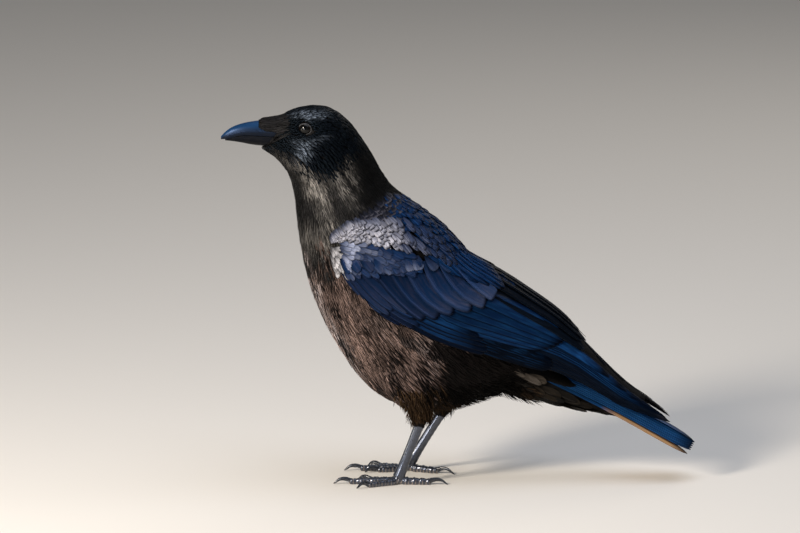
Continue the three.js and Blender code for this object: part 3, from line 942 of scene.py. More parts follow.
@dataclass
class Coat:
    """One piece of plumage: batches of feathers joined in one mesh."""

    name: str
    finish: PlumageFinish
    skin: Skin  # its unwrap says where each feather's patch lies on the bake map
    batches: list[Feathers]
    UV_LAYERS = ("vane", "barb", "OFBake")

    def build(self, rng: Generator, slot: str, *nodes: str) -> None:
        """Joins the batches to one object and puts it on the bird.

        Args:
            rng: Draws each feather's chance number.
            slot: The record's material slot, passed on with the piece.
            nodes: The frame's nodes that it replaces.
        """
        laid, offset = [], 0
        for batch in self.batches:
            laid.append(self._lay(batch, offset, rng))
            offset += len(laid[-1]["points"])
        joined = {key: np.concatenate([a[key] for a in laid]) for key in laid[0]}
        settle(self._mesh(joined), slot, *nodes)

    def _lay(self, batch: Feathers, offset: int, rng: Generator) -> dict[str, np.ndarray]:
        """Bends the shape along each line of a batch.

        Args:
            batch: The feathers.
            offset: How many vertices come before them.
            rng: Draws each feather's chance number.

        Returns:
            Their points, maps, tract colours and faces, by name.
        """
        shape = batch.shape.pattern()
        station, across = shape.station, shape.across
        count, verts = len(batch.line), len(station)
        share = np.asarray(batch.shape.stations)[station]
        outline = np.asarray(batch.shape.outline)[station]
        ridge = np.asarray(batch.shape.ridge)[station]
        tangent = unit(np.gradient(batch.line, axis=1))
        side = unit(np.cross(batch.normal, tangent))
        up = np.cross(tangent, side)
        c, s = np.cos(batch.roll)[:, None, None], np.sin(batch.roll)[:, None, None]
        side, up = side * c + up * s, up * c - side * s
        lean = np.ones((count, 2)) if batch.lean is None else batch.lean
        reach = np.where(across >= 0, lean[:, 1:], lean[:, :1]) * batch.width[:, None]
        out = reach * across * outline
        rise = batch.ridge[:, None] * shape.high * ridge
        points = (
            batch.line[:, station]
            + side[:, station] * out[..., None]
            + up[:, station] * rise[..., None]
        )
        length = np.linalg.norm(np.diff(batch.line, axis=1), axis=2).sum(1)
        barb = np.stack([out, length[:, None] * share], -1) / BARB_UNIT
        root = self.skin.unwrapped(batch.line[:, 0])
        spread = np.stack([0.5 * across * outline, share - 0.5], 1) * PATCH
        tract = np.stack([batch.tone, batch.gleam_and_wear, rng.random(count), np.ones(count)], 1)
        starts = offset + np.arange(count)[:, None] * verts
        return {
            "points": points.reshape(-1, 3),
            "vane": np.tile(np.stack([0.5 + 0.5 * across, share], 1), (count, 1)),
            "barb": barb.reshape(-1, 2),
            "OFBake": (root[:, None] + spread[None]).reshape(-1, 2),
            "tract": np.repeat(tract, verts, axis=0),
            "loops": (starts + shape.loops[None]).reshape(-1),
            "sizes": np.tile(shape.sizes, count), "smooth": np.tile(shape.smooth, count),
        }

    def _mesh(self, data: dict[str, np.ndarray]) -> Object:
        """Makes the object from the joined arrays.

        Args:
            data: The arrays by name.

        Returns:
            The object.
        """
        mesh = bpy.data.meshes.new(self.name)
        loops, sizes = data["loops"].astype(np.int32), data["sizes"].astype(np.int32)
        mesh.vertices.add(len(data["points"]))
        write(mesh.vertices, "co", data["points"] * MM)
        mesh.loops.add(len(loops))
        write(mesh.loops, "vertex_index", loops)
        mesh.polygons.add(len(sizes))
        starts = np.concatenate([[0], np.cumsum(sizes)[:-1]])
        write(mesh.polygons, "loop_start", starts.astype(np.int32))
        mesh.update(calc_edges=True)
        write(mesh.polygons, "use_smooth", data["smooth"])
        for name in self.UV_LAYERS:
            write(mesh.uv_layers.new(name=name).uv, "vector", data[name][loops])
        tract = mesh.attributes.new("tract", "FLOAT_COLOR", "POINT")
        write(tract.data, "color", data["tract"])
        mesh.uv_layers["vane"].active_render = True
        mesh.validate()
        mesh.materials.append(self.finish.material())
        log.info("%s: %d triangles", self.name, (sizes - 2).sum())
        return linked(self.name, mesh)


# -------- the skin
@dataclass
class Skin:
    """The flesh's one seamless skin, under the feathers."""

    nodes: dict[str, Object]
    flesh: tuple[str, ...] = (
        "head", "neck", "trunk", "thigh_left", "thigh_right", "undertail_coverts"
    )
    voxel: float = 2.0
    grow: float = 0.45
    reach: float = 8.0  # how far round a place of the table its depth holds
    # x, z, and how deep the skin lies under the plumage there
    depths: tuple[Row, ...] = (
        (-160, 300, 0.9), (-135, 307, 0.9), (-120, 320, 1.2), (-95, 300, 1.8),
        (-130, 260, 2.2), (-80, 260, 2.6), (-60, 180, 3.6), (-90, 130, 3.4),
        (-40, 100, 3.2), (-32, 72, 1.6), (-26, 66, 1.2), (40, 100, 3.0), (100, 78, 2.2),
        (137, 60, 1.2),
    )

    def __post_init__(self) -> None:
        """Builds the forms under and over the feathers."""
        self.body = Surface.of(self._cast(self.flesh + ("nasal_bristles",), "body_form"))
        wings = self.flesh + ("wing_left", "wing_right")
        self.whole = Surface.of(self._cast(wings, "whole_form"))
        self.obj = self._cast(self.flesh, "skin", keep=True)
        self._sink()
        self.surface = Surface.of(self.obj)
        self.corner_places = self._unwrap()

    def _cast(self, names: Iterable[str], name: str, keep: bool = False) -> Object:
        """Joins copies of nodes to one smooth closed form.

        Args:
            names: The nodes.
            name: The new object's name.
            keep: Whether the object stays in the scene.

        Returns:
            The object; one that isn't kept is unlinked, and only its mesh is of use.
        """
        bm = bmesh.new()
        for node in names:
            part = bmesh.new()
            part.from_mesh(self.nodes[node].data)
            bmesh.ops.remove_doubles(part, verts=part.verts, dist=0.01 * MM)
            bmesh.ops.recalc_face_normals(part, faces=part.faces)
            part.normal_update()
            for vert in part.verts:
                vert.co += vert.normal * self.grow * MM
            scratch = bpy.data.meshes.new("scratch")
            part.to_mesh(scratch)
            part.free()
            bm.from_mesh(scratch)
            bpy.data.meshes.remove(scratch)
        mesh = bpy.data.meshes.new(name)
        bm.to_mesh(mesh)
        bm.free()
        obj = linked(name, mesh)
        remesh = obj.modifiers.new("one_form", "REMESH")
        remesh.mode, remesh.voxel_size = "VOXEL", self.voxel * MM
        smooth = obj.modifiers.new("smooth", "SMOOTH")
        smooth.factor, smooth.iterations = 0.5, 6
        graph = bpy.context.evaluated_depsgraph_get()
        shaped = bpy.data.meshes.new_from_object(obj.evaluated_get(graph))
        obj.modifiers.clear()
        obj.data = shaped
        bpy.data.meshes.remove(mesh)
        shaped.name = name
        if not keep:
            bpy.context.scene.collection.objects.unlink(obj)
        return obj

    def _sink(self) -> None:
        """Draws the skin in from the plumage by the coat's depth."""
        surface = Surface.of(self.obj)
        table = np.asarray(self.depths, float)
        depth = side_shares(surface.points, table[:, :2], self.reach) @ table[:, 2]
        sunk = surface.points - surface.normals * (depth + self.grow)[:, None]
        write(self.obj.data.vertices, "co", sunk * MM)
        self.obj.data.update()

    def _unwrap(self) -> np.ndarray:
        """Unwraps the skin.

        Returns:
            The place on the unwrap of each triangle's corners.
        """
        mesh = self.obj.data
        mesh.uv_layers.new(name="unwrap")
        bpy.ops.object.select_all(action="DESELECT")
        self.obj.select_set(True)
        bpy.context.view_layer.objects.active = self.obj
        bpy.ops.object.mode_set(mode="EDIT")
        bpy.ops.mesh.select_all(action="SELECT")
        bpy.ops.uv.smart_project(angle_limit=1.15, island_margin=0.004)
        bpy.ops.object.mode_set(mode="OBJECT")
        mesh.calc_loop_triangles()
        places = read(mesh.uv_layers["unwrap"].uv, "vector", 2)
        return places[read(mesh.loop_triangles, "loops", 3)]

    def unwrapped(self, roots: Places) -> np.ndarray:
        """Finds the place of feather roots on the skin's unwrap.

        Args:
            roots: The roots.

        Returns:
            Two coordinates for each.
        """
        on, _, faces = self.surface.nearest(roots)
        share = self.surface.weights(on, faces)
        return (self.corner_places[faces] * share[..., None]).sum(1)

    def dress(self) -> None:
        """Gives the skin its material and its place in the frame."""
        self.obj.data.shade_smooth()
        self.obj.data.materials.append(SKIN.material())
        settle(self.obj, "underparts", *self.flesh)


# -------- body plumage
@dataclass(frozen=True)
class Spot:
    """Patch of feathers painted paler with gleam and wear, or darker, mostly as shade."""

    x: float
    z: float
    radius_x: float
    radius_z: float
    amount: float
    turn: float = 0.0

    def at(self, places: Places) -> np.ndarray:
        """Works out how strongly the patch shows.

        Args:
            places: The places.

        Returns:
            One share for each.
        """
        angle = math.radians(self.turn)
        dx, dz = places[:, 0] - self.x, places[:, 2] - self.z
        u = (dx * math.cos(angle) + dz * math.sin(angle)) / self.radius_x
        v = (dz * math.cos(angle) - dx * math.sin(angle)) / self.radius_z
        return self.amount * np.exp(-(u**2 + v**2) ** 1.5)


@dataclass(frozen=True)
class Mottle:
    """A value that wanders softly from place to place, mostly between -1 and 1."""

    size: float = 16.0  # how wide its patches are, mm
    stretch: float = 1.0  # how many times longer they are than wide
    heading: float = -60.0  # which way they are longer, in degrees of the side view
    waves: int = 9
    seed: int = 5

    def at(self, places: Places) -> np.ndarray:
        """Reads the value.

        Args:
            places: The places.

        Returns:
            One number for each.
        """
        rng = np.random.default_rng(self.seed)
        ways = unit(rng.normal(size=(self.waves, 3)))
        ways = ways / (self.size * rng.uniform(0.5, 1.6, (self.waves, 1)))
        turn = math.radians(self.heading)
        long = np.array([math.cos(turn), 0, math.sin(turn)])
        ways = ways - (ways @ long)[:, None] * long * (1 - 1 / self.stretch)
        starts = rng.uniform(0, FULL_TURN, self.waves)
        return np.sin(places @ ways.T * math.pi + starts).sum(1) / math.sqrt(self.waves)


@dataclass(frozen=True)
class RootGrid:
    """Orderly feather roots on the left side, in rows like tiles.

    Each column runs down the side view, as x and z of its top, middle and bottom, and
    the columns follow each other from the front back.
    """

    columns: tuple[tuple[float, ...], ...]
    along: int
    down: int
    wander: float = 0.16

    def roots(self, surface: Surface, rng: Generator) -> Places:
        """Places the roots.

        Args:
            surface: The form that they stand on.
            rng: Draws how far each one strays from its place in the grid.

        Returns:
            The roots.
        """
        u = np.repeat(np.arange(self.along), self.down).astype(float)
        v = np.tile(np.arange(self.down), self.along) + 0.5 * (u % 2)
        u = (u + rng.normal(0, self.wander, len(u))) / (self.along - 1)
        v = (v + rng.normal(0, self.wander, len(u))) / (self.down - 0.5)
        column = smooth_rows(self.columns, np.clip(u, 0, 1))
        seen = through(column[:, :2], column[:, 2:4], column[:, 4:], v[:, None])
        off_side = -60.0  # a place outside the bird's left side
        at = np.column_stack([seen[:, 0], np.full(len(u), off_side), seen[:, 1]])
        for _ in range(6):
            found, _, _ = surface.nearest(at)
            at[:, 1] = found[:, 1]
        return found


def through(
    start: np.ndarray, middle: np.ndarray, end: np.ndarray, t: np.ndarray
) -> np.ndarray:
    """Returns points at shares t of the curves through three points each."""
    return start * (1 - t) * (1 - 2 * t) + middle * 4 * t * (1 - t) + end * t * (2 * t - 1)


@dataclass
class Tract:
    """A tract of body feathers: where it grows and how its feathers are made."""

    finish: PlumageFinish
    lies: Lies
    keep: Callable[[Places], np.ndarray] | RootGrid
    shape: FeatherShape = POINTED
    locks: int = 1  # hair-like locks to each feather
    fan: float = 0.0  # degrees between the outer locks
    sink: float = 0.10  # root depth as a share of the length
    lift: float = 0.0  # how far the tip stands over the form, mm
    lift_chance: float = 0.0
    ridge: float = 0.16  # ridge height as a share of the half width
    jitter: float = 6.0  # degrees
    follow: float = 0.7  # how far a feather bends with the lie of its neighbours
    roll: float = 5.0
    tone: Pair = (0.35, 0.65)
    # patches painted paler: gleam where the light falls, and worn ends
    spots: tuple[Spot, ...] = ()
    # patches painted darker: shade where the plumage lies in shadow, and the darkest head
    # parts
    shades: tuple[Spot, ...] = ()
    mottle: float = 0.0  # how far the depth of colour wanders from place to place
    mottling: Mottle = Mottle()
    sparse: float = 0.0  # how few of a patch's feathers gleam: 0 for all of them
    uneven: float = 0.4  # how far the gleam differs from feather to feather
    stand: float = 0.0  # how far the whole tract stands over the form, mm
    lock_width: float = 0.5  # a lock's width as a share of its feather's
    # How far feathers and locks differ in size, and how much shorter the outer locks are.
    LENGTHS, WIDTHS, LOCK_LENGTHS = (0.85, 1.15), (0.9, 1.1), (0.85, 1.1)
    OUTER_LOCKS = 0.22

    def grow(self, surface: Surface, rng: Generator) -> Feathers:
        """Grows the tract.

        Args:
            surface: The form that the feathers lie on.
            rng: The random draws.

        Returns:
            The feathers.
        """
        if isinstance(self.keep, RootGrid):
            roots = self.keep.roots(surface, rng)
        else:
            roots = scatter(surface, self.lies, self.keep, rng)
        n = len(roots)
        _, _, length, width, _ = self.lies.at(roots).T
        length = length * rng.uniform(*self.LENGTHS, n)
        width = width / 2 * rng.uniform(*self.WIDTHS, n)
        turn = np.radians(rng.normal(0, self.jitter, n))
        tone = rng.uniform(*self.tone, n)
        # Patches painted paler where the feathers gleam in the light, and at their worn
        # ends.
        gleam_and_wear = sum((s.at(roots) for s in self.spots), np.zeros(n))
        gleam_and_wear = gleam_and_wear * rng.uniform(0.9 - self.uneven, 0.9 + self.uneven, n)
        if self.sparse:
            gleam_and_wear = gleam_and_wear * rng.random(n) ** self.sparse * (1 + self.sparse)
        tone = tone + self.mottling.at(roots) * self.mottle
        # Shade patches paint the tone darker where the plumage lies in shadow.
        tone = tone - sum((s.at(roots) for s in self.shades), np.zeros(n))
        shift = np.zeros(n)
        if self.locks > 1:
            share = np.tile(np.linspace(-1, 1, self.locks), n)
            shift = share * 0.8
            roots, length, width, turn, tone, gleam_and_wear = (
                np.repeat(a, self.locks, axis=0)
                for a in (roots, length, width, turn, tone, gleam_and_wear)
            )
            length = length * (1 - self.OUTER_LOCKS * np.abs(share) ** 1.5)
            length *= rng.uniform(*self.LOCK_LENGTHS, len(length))
            turn = turn + share * np.radians(self.fan / 2)
            turn += np.radians(rng.normal(0, self.fan * 0.12, len(turn)))
            tone = tone + rng.normal(0, 0.06, len(tone))
        line, normal = self._lines(surface, roots, length, turn, shift * width, rng)
        if self.locks > 1:
            width = width * self.lock_width
        return Feathers(
            self.shape, line, normal, width, width * self.ridge, np.clip(tone, 0, 1),
            np.clip(gleam_and_wear, 0, 1), np.radians(rng.normal(0, self.roll, len(line))),
        )

    def _lines(
        self, surface: Surface, roots: Places, length: np.ndarray, turn: np.ndarray,
        shift: np.ndarray, rng: Generator,
    ) -> tuple[np.ndarray, np.ndarray]:
        """Walks each feather's middle line over the form.

        Args:
            surface: The form.
            roots: Where each line starts.
            length: How long it is.
            turn: How far it turns from the tract's lie, in radians.
            shift: How far its start moves sideways.
            rng: Draws which tips stand up.

        Returns:
            The lines and their normals.
        """
        at, normal, _ = surface.nearest(roots)
        stations = np.asarray(self.shape.stations)
        first = self.lies.headings(at)
        cos, sin = np.cos(turn)[:, None], np.sin(turn)[:, None]
        places, normals = [], []
        for k, share in enumerate(stations):
            if k:
                step = length * (share - stations[k - 1])
                at, normal, _ = surface.nearest(at + ahead * step[:, None])
            now = self.lies.headings(at) * self.follow + first * (1 - self.follow)
            ahead = unit(now - normal * (now * normal).sum(1, keepdims=True))
            side = np.cross(normal, ahead)
            ahead = unit(ahead * cos + side * sin)
            if not k:
                at, normal, _ = surface.nearest(at + side * shift[:, None])
            places.append(at)
            normals.append(normal)
        line, normal = np.stack(places, 1), np.stack(normals, 1)
        rise = np.where(rng.random(len(line)) < self.lift_chance, 1.0, 0.15) * self.lift
        depth = -self.sink * length[:, None] * (1 - stations) ** 1.2
        height = depth + rise[:, None] * stations**2 - 0.15 + self.stand
        return line + normal * height[..., None], normal


EYE = (-131.6, 13.6, 307.2)  # the right eye's centre


def between(values: np.ndarray, low: float, high: float) -> np.ndarray:
    """Says which values lie between two limits."""
    return (values > low) & (values < high)


def on_bill(p: Places) -> np.ndarray:
    """Says which places lie on the bill or the bristle pad."""
    behind = -143 - (p[:, 2] - 303) * 0.55
    return between(p[:, 2], 303.0, 319.5) & (np.abs(p[:, 1]) < 13) & (p[:, 0] < behind)


def in_eye(p: Places) -> np.ndarray:
    """Says which places lie inside the ring of the eyelids."""
    return ((p[:, 0] - EYE[0]) / 5.7) ** 2 + ((p[:, 2] - EYE[2]) / 4.8) ** 2 < 1


def over_line(p: Places, line: Sequence[Row]) -> np.ndarray:
    """Returns how far places lie above a line of the side view that runs along x."""
    return p[:, 2] - np.interp(p[:, 0], *zip(*line))


def over_breast(p: Places) -> np.ndarray:
    """Returns how far places lie above the slanting line from breast to shoulder."""
    return p[:, 2] - (0.45 * (p[:, 0] + 100) + 214)


HEAD_LIES = Lies((
    (-150, 316, 25, 4.2, 2, 1.5), (-142, 321, 25, 4.8, 2.2, 1.6),
    (-127, 326, 3, 5.5, 2.6, 1.8), (-108, 320, -28, 6.5, 3, 2.1),
    (-95, 308, -48, 7.5, 3.2, 2.3), (-146, 307, -8, 4, 1.5, 1.3),
    (-131, 315, 4, 4.2, 1.9, 1.4), (-141, 300, -22, 4.4, 1.6, 1.4),
    (-131, 298, -32, 4.6, 1.9, 1.5), (-120, 303, -12, 6, 2.4, 1.8),
    (-112, 295, -38, 7.5, 2.6, 2.1), (-128, 288, -48, 6.5, 2.2, 1.9),
    (-150, 292, -24, 5, 1.5, 1.5), (-165, 290, -18, 6, 1.3, 1.6),
    (-155, 284, -40, 8, 1.6, 1.9), (-146, 274, -55, 11, 2, 2.3),
    (-130, 272, -55, 10.5, 2.4, 2.3), (-84, 296, -56, 8.5, 3.4, 2.4),
    (-100, 285, -52, 9, 3, 2.3),
), reach=5.0)
NECK_LIES = Lies((
    (-156, 284, -42, 12, 2, 2.2), (-144, 268, -60, 16, 2.2, 2.5),
    (-140, 250, -76, 20, 2.6, 2.9), (-138, 225, -86, 24, 3.2, 3.4),
    (-124, 264, -58, 16, 2.4, 2.6), (-118, 250, -62, 18, 2.8, 2.9),
    (-105, 240, -64, 20, 3.2, 3.2), (-106, 268, -64, 14, 2.6, 2.6),
    (-97, 280, -66, 12, 2.6, 2.4), (-90, 265, -58, 15, 3.6, 2.9),
    (-78, 288, -57, 11, 3.6, 2.6), (-68, 268, -56, 14, 4.2, 2.9),
    (-75, 245, -60, 18, 4.8, 3.4), (-55, 250, -50, 16, 6, 3.6),
    (-95, 220, -60, 20, 4.4, 3.6),
), reach=7.0)
UNDER_LIES = Lies((
    (-138, 215, -85, 24, 4.6, 4.2), (-132, 190, -72, 29, 5.6, 4.8),
    (-110, 200, -66, 27, 5.6, 4.6), (-120, 160, -64, 32, 6, 5), (-95, 165, -56, 33, 6, 5),
    (-104, 125, -56, 33, 6.4, 5.3), (-80, 135, -52, 34, 6.4, 5.3),
    (-84, 95, -48, 32, 6.2, 5.2), (-55, 110, -50, 33, 6.4, 5.3),
    (-60, 78, -44, 24, 5.6, 4.8), (-25, 105, -42, 31, 6.6, 5.5),
    (0, 110, -34, 29, 6.6, 5.5), (30, 110, -28, 28, 6.6, 5.5),
), reach=14.0)
THIGH_LIES = Lies((
    (-48, 90, -66, 20, 5, 4.2), (-40, 74, -72, 16, 4, 3.2), (-32, 64, -74, 10, 2.6, 2.2),
    (-20, 80, -66, 21, 5, 4), (-10, 66, -70, 16, 3, 2.6), (-10, 95, -52, 22, 6, 4.8),
    (10, 75, -50, 20, 5, 4.2), (30, 72, -30, 20, 5.5, 4.6), (45, 80, -22, 22, 6, 5),
    (30, 100, -26, 24, 6.5, 5.2),
), reach=8.0)
VENT_LIES = Lies((
    (50, 85, -24, 28, 9, 8.5), (75, 82, -26, 28, 11, 8.5), (100, 72, -24, 30, 11, 7.5),
    (120, 64, -22, 26, 9, 6.5), (135, 59, -20, 16, 7, 5), (46, 102, -32, 30, 9, 10),
), reach=14.0)
MANTLE_LIES = Lies((
    (-92, 240, -62, 8, 9, 2.7), (-70, 246, -60, 9, 9, 2.9), (-50, 246, -54, 13, 10, 4),
    (-30, 232, -48, 17, 9.5, 4.8), (-10, 214, -46, 20, 10, 5.6), (5, 204, -46, 22, 11, 6.2),
    (25, 190, -42, 24, 11, 6.6), (-88, 230, -62, 8, 8.5, 2.7), (-48, 226, -54, 15, 9, 4.6),
), reach=7.0)
SHIELD_LIES = Lies((
    (-109, 219, -48, 8, 9.5, 3), (-100, 224, -56, 9, 10, 3), (-90, 227, -62, 10.5, 10, 3),
    (-80, 229, -64, 13, 9, 3), (-67, 229, -64, 16, 7, 3), (-57, 228, -64, 18, 6, 3),
    (-45, 224, -62, 18, 6, 3), (-34, 219, -60, 18, 6.5, 3), (-25, 213, -56, 18, 7, 3),
    (-16, 206, -54, 18, 7.5, 3),
), reach=5.0)
LESSER_LIES = Lies((
    (-108, 210, -16, 10, 6, 3.6), (-108, 198, -46, 9, 6, 3.8),
    (-102, 188, -56, 9, 5.5, 3.8), (-96, 208, -14, 16, 7, 4.4), (-96, 196, -34, 13, 6.5, 4),
    (-82, 208, -20, 20, 8, 5), (-84, 198, -34, 17, 7.5, 5), (-64, 204, -26, 20, 8, 5),
    (-50, 199, -26, 19, 8, 5),
), reach=6.0)
FRINGE_LIES = Lies((
    (-90, 176, -62, 13, 3.4, 3), (-56, 148, -56, 17, 4.4, 3.4),
    (-30, 132, -52, 18, 4.6, 3.6), (0, 120, -46, 18, 4.6, 3.6),
), reach=10.0)


# Front line of the mantle, as height and x: the hackles hang over it.
MANTLE_FRONT = ((200, -112), (212, -109), (222, -101), (236, -92), (246, -76), (256, -60))
# Lower line of the back, where the long scapulars start.
SCAPULAR_EDGE = (
    (-112, 210), (-92, 212), (-76, 213), (-63, 208), (-50, 204), (-38, 204),
    (-18, 204), (5, 196), (25, 184), (45, 174), (80, 160),
)
# Upper line of the scapulars' shield.
SCAPULAR_TOP = (
    (-112, 219), (-104, 221), (-92, 228), (-70, 232), (-46, 229), (-30, 217), (-16, 202),
    (-6, 192), (0, 150),
)
# Upper line of the underparts, which run a little way under the folded wing.
WING_LOWER_EDGE = (
    (-200, 300), (-112, 300), (-108, 212), (-100, 200), (-92, 190), (-80, 178), (-62, 166),
    (-30, 152), (0, 138), (30, 128), (60, 125), (90, 120),
)
# Where the tail's outer feathers come out from the undertail coverts.
TAIL_LOWER_EDGE = ((36, 114), (50, 99), (70, 86), (100, 69), (140, 49))
# The folded wing's lower rim, which tufts of the flanks overlap.
WING_RIM = ((-96, 176), (-68, 153), (-51, 142), (-35, 133), (-8, 121), (20, 114))
# The scapulars' shield and the lesser coverts below it.
SHIELD_FRONT = RootGrid((
    (-108, 222, -110, 220, -110.7, 217.7), (-99, 230, -100, 225, -100.8, 219.9),
    (-88, 234, -90, 228, -90.8, 221.4), (-77, 236.5, -80, 229, -81.3, 221.8),
    (-64, 237, -67, 228, -68, 219.5),
), along=14, down=6, wander=0.1)
SHIELD_REAR = RootGrid((
    (-73, 237, -76, 229, -77, 221), (-62, 237, -66, 228, -68, 219.5),
    (-53, 236, -57, 226, -58, 218), (-42, 232, -45, 223, -46, 215),
    (-32, 226, -34, 219, -34.5, 213.7), (-24, 218, -25.5, 213, -25.5, 211),
    (-14, 208, -15, 206, -16, 204),
), along=19, down=4, wander=0.2)
BEND = RootGrid((
    (-111, 208, -111.5, 200, -109, 190), (-108, 208, -108.5, 200, -106, 190),
    (-99, 207, -99, 200, -97, 191),
), along=5, down=6)
LESSER = RootGrid((
    (-103, 211, -102, 202, -100, 190), (-98, 213, -98, 202, -95, 190),
    (-89, 213, -90, 203, -90, 194), (-75, 211, -78, 202, -79, 195),
    (-61, 208, -64, 201, -66, 195), (-47, 202, -50, 198, -53, 193),
), along=14, down=5)


# Where the short head feathers meet the hackles, from the chin to the nape.
HEAD_EDGE = (
    (-200, 292), (-158, 287), (-144, 280), (-128, 271), (-111, 273), (-98, 286), (-60, 312),
)


RAGGED = Mottle(9.0, 2.5)  # how the neck and the breast run into each other


# Where each tract grows, in millimetres of x and z on the side view.
def on_head(p: Places) -> np.ndarray:
    """Says which places are on the head, down to the nape and throat."""
    return (over_line(p, HEAD_EDGE) > -3) & ~on_bill(p) & ~in_eye(p)


def on_neck(p: Places) -> np.ndarray:
    """Says which places are on the neck, from the nape to the shoulders."""
    low = over_breast(p) > RAGGED.at(p) * 9 - 6
    ahead = p[:, 0] < np.interp(p[:, 2], *zip(*MANTLE_FRONT)) + 7
    return (over_line(p, HEAD_EDGE) <= 5) & low & ahead & ~on_bill(p)


def on_underside(p: Places) -> np.ndarray:
    """Says which places are on the breast, belly and flanks."""
    leg = (p[:, 2] < 76) & (p[:, 0] > -50)
    free = (over_line(p, WING_LOWER_EDGE) <= 0) & ~leg & (p[:, 0] < 42)
    return (over_breast(p) <= RAGGED.at(p) * 9 + 9) & free


def on_thigh(p: Places) -> np.ndarray:
    """Says which places are on the thighs and the fluff behind them."""
    return between(p[:, 2], 62, 92) & between(p[:, 0], -54, 52)


def on_vent(p: Places) -> np.ndarray:
    """Says which places take undertail coverts."""
    return (p[:, 0] > 36) & (over_line(p, TAIL_LOWER_EDGE) <= 0)


def on_upper_back(p: Places) -> np.ndarray:
    """Says which places are on the back, from the neck to the rump."""
    behind = p[:, 0] > np.interp(p[:, 2], *zip(*MANTLE_FRONT))
    inside = (over_breast(p) < 26) & (p[:, 0] < 30) & (p[:, 2] < 254) & behind
    return inside & (over_line(p, SCAPULAR_EDGE) > 0) & (over_line(p, SCAPULAR_TOP) > 0)


def on_mantle(p: Places) -> np.ndarray:
    """Says which places are on the front of the back."""
    return on_upper_back(p) & (p[:, 0] < -58)


def on_back(p: Places) -> np.ndarray:
    """Says which places are on the upper back."""
    return on_upper_back(p) & (p[:, 0] > -66)


def on_fringe(p: Places) -> np.ndarray:
    """Says which places are in a narrow band along the wing's lower rim."""
    tufts = between(p[:, 0], -92, -82) | between(p[:, 0], -52, -6)
    return tufts & between(over_line(p, WING_RIM), -7, 2)


def on_pad(p: Places) -> np.ndarray:
    """Says which places are on the pad behind the bare horn."""
    return between(p[:, 0], -168.5, -141) & between(p[:, 2], 303.2, 320)


# The head's and neck's spots paint pale highlights where the black plumage gleams in the
# light.
HEAD_TRACT = Tract(
    HEAD, HEAD_LIES, on_head, ridge=0.22, sink=0.12, roll=7, tone=(0.4, 0.6),
    mottle=0.06, mottling=Mottle(9.0), sparse=0.6,
    spots=(
        Spot(-133, 318, 15, 3.6, 0.8, 8), Spot(-136, 291, 9, 7, 0.6, 40),
        Spot(-142, 299, 6, 4, 0.25), Spot(-124, 300, 12, 2.2, 0.3, 22),
    ),
    shades=(Spot(-143, 308, 10, 9, 0.8), Spot(-104, 296, 18, 22, 0.3, 40)),
)
NECK_TRACT = Tract(
    HACKLE, NECK_LIES, on_neck, locks=5, fan=13, ridge=0.25, jitter=5, sink=0.08,
    lock_width=0.24, roll=7, tone=(0.45, 0.6), mottle=0.14,
    mottling=Mottle(3.5, 7.0, -68.0), sparse=0.7, lift=0.6, lift_chance=0.1,
    spots=(
        Spot(-95, 280, 4, 13, 2.2, 14), Spot(-105, 267, 5, 14, 0.7, 30),
        Spot(-131, 268, 7, 9, 0.35, 20), Spot(-122, 262, 5, 20, 0.6, 16),
        Spot(-134, 274, 6, 18, 0.7, 26), Spot(-152, 284, 10, 4, 0.35, -38),
        Spot(-118, 244, 7, 10, 0.3, 20), Spot(-124, 224, 18, 12, 0.36),
    ),
    shades=(Spot(-80, 272, 17, 40, 0.75, 35), Spot(-143, 262, 4, 22, 0.2, 20)),
)
# Shades paint shade on the flank, behind the legs and under the wing's front.
UNDER_TRACT = Tract(
    BREAST, UNDER_LIES, on_underside, locks=6, fan=14, ridge=0.18, jitter=5, sink=0.07,
    lock_width=0.32, tone=(0.42, 0.5), mottle=0.36, mottling=Mottle(4.0, 10.0),
    sparse=0.9, lift=0.8, lift_chance=0.08,
    spots=(
        Spot(-133, 192, 7, 40, 0.9, 10), Spot(-116, 147, 6, 36, 0.6, 26),
        Spot(-84, 170, 10, 30, 0.15, 30), Spot(-40, 124, 22, 7, 0.15, -45),
    ),
    shades=(
        Spot(22, 102, 56, 32, 1.6), Spot(-8, 120, 26, 13, 0.9, -25),
        Spot(-120, 208, 26, 18, 0.26), Spot(-58, 84, 44, 24, 0.22, -35),
        Spot(-110, 194, 13, 26, 0.14, 20),
    ),
)
FRINGE_TRACT = replace(
    UNDER_TRACT, keep=on_fringe, lies=FRINGE_LIES, sink=0.02, stand=1.2, lift=2.5,
    lift_chance=0.4, jitter=9, spots=(Spot(-36, 132, 24, 20, 0.2),),
)
# Its shade paints the fluff behind the thighs dark, as in shadow.
THIGH_TRACT = Tract(
    DOWN, THIGH_LIES, on_thigh, locks=5, fan=24, ridge=0.3, jitter=10, sink=0.08,
    lock_width=0.26, roll=14, lift=4.5, lift_chance=0.4,
    shades=(Spot(16, 88, 34, 20, 1.1),), mottle=0.12, mottling=Mottle(5.0, 4.0),
)
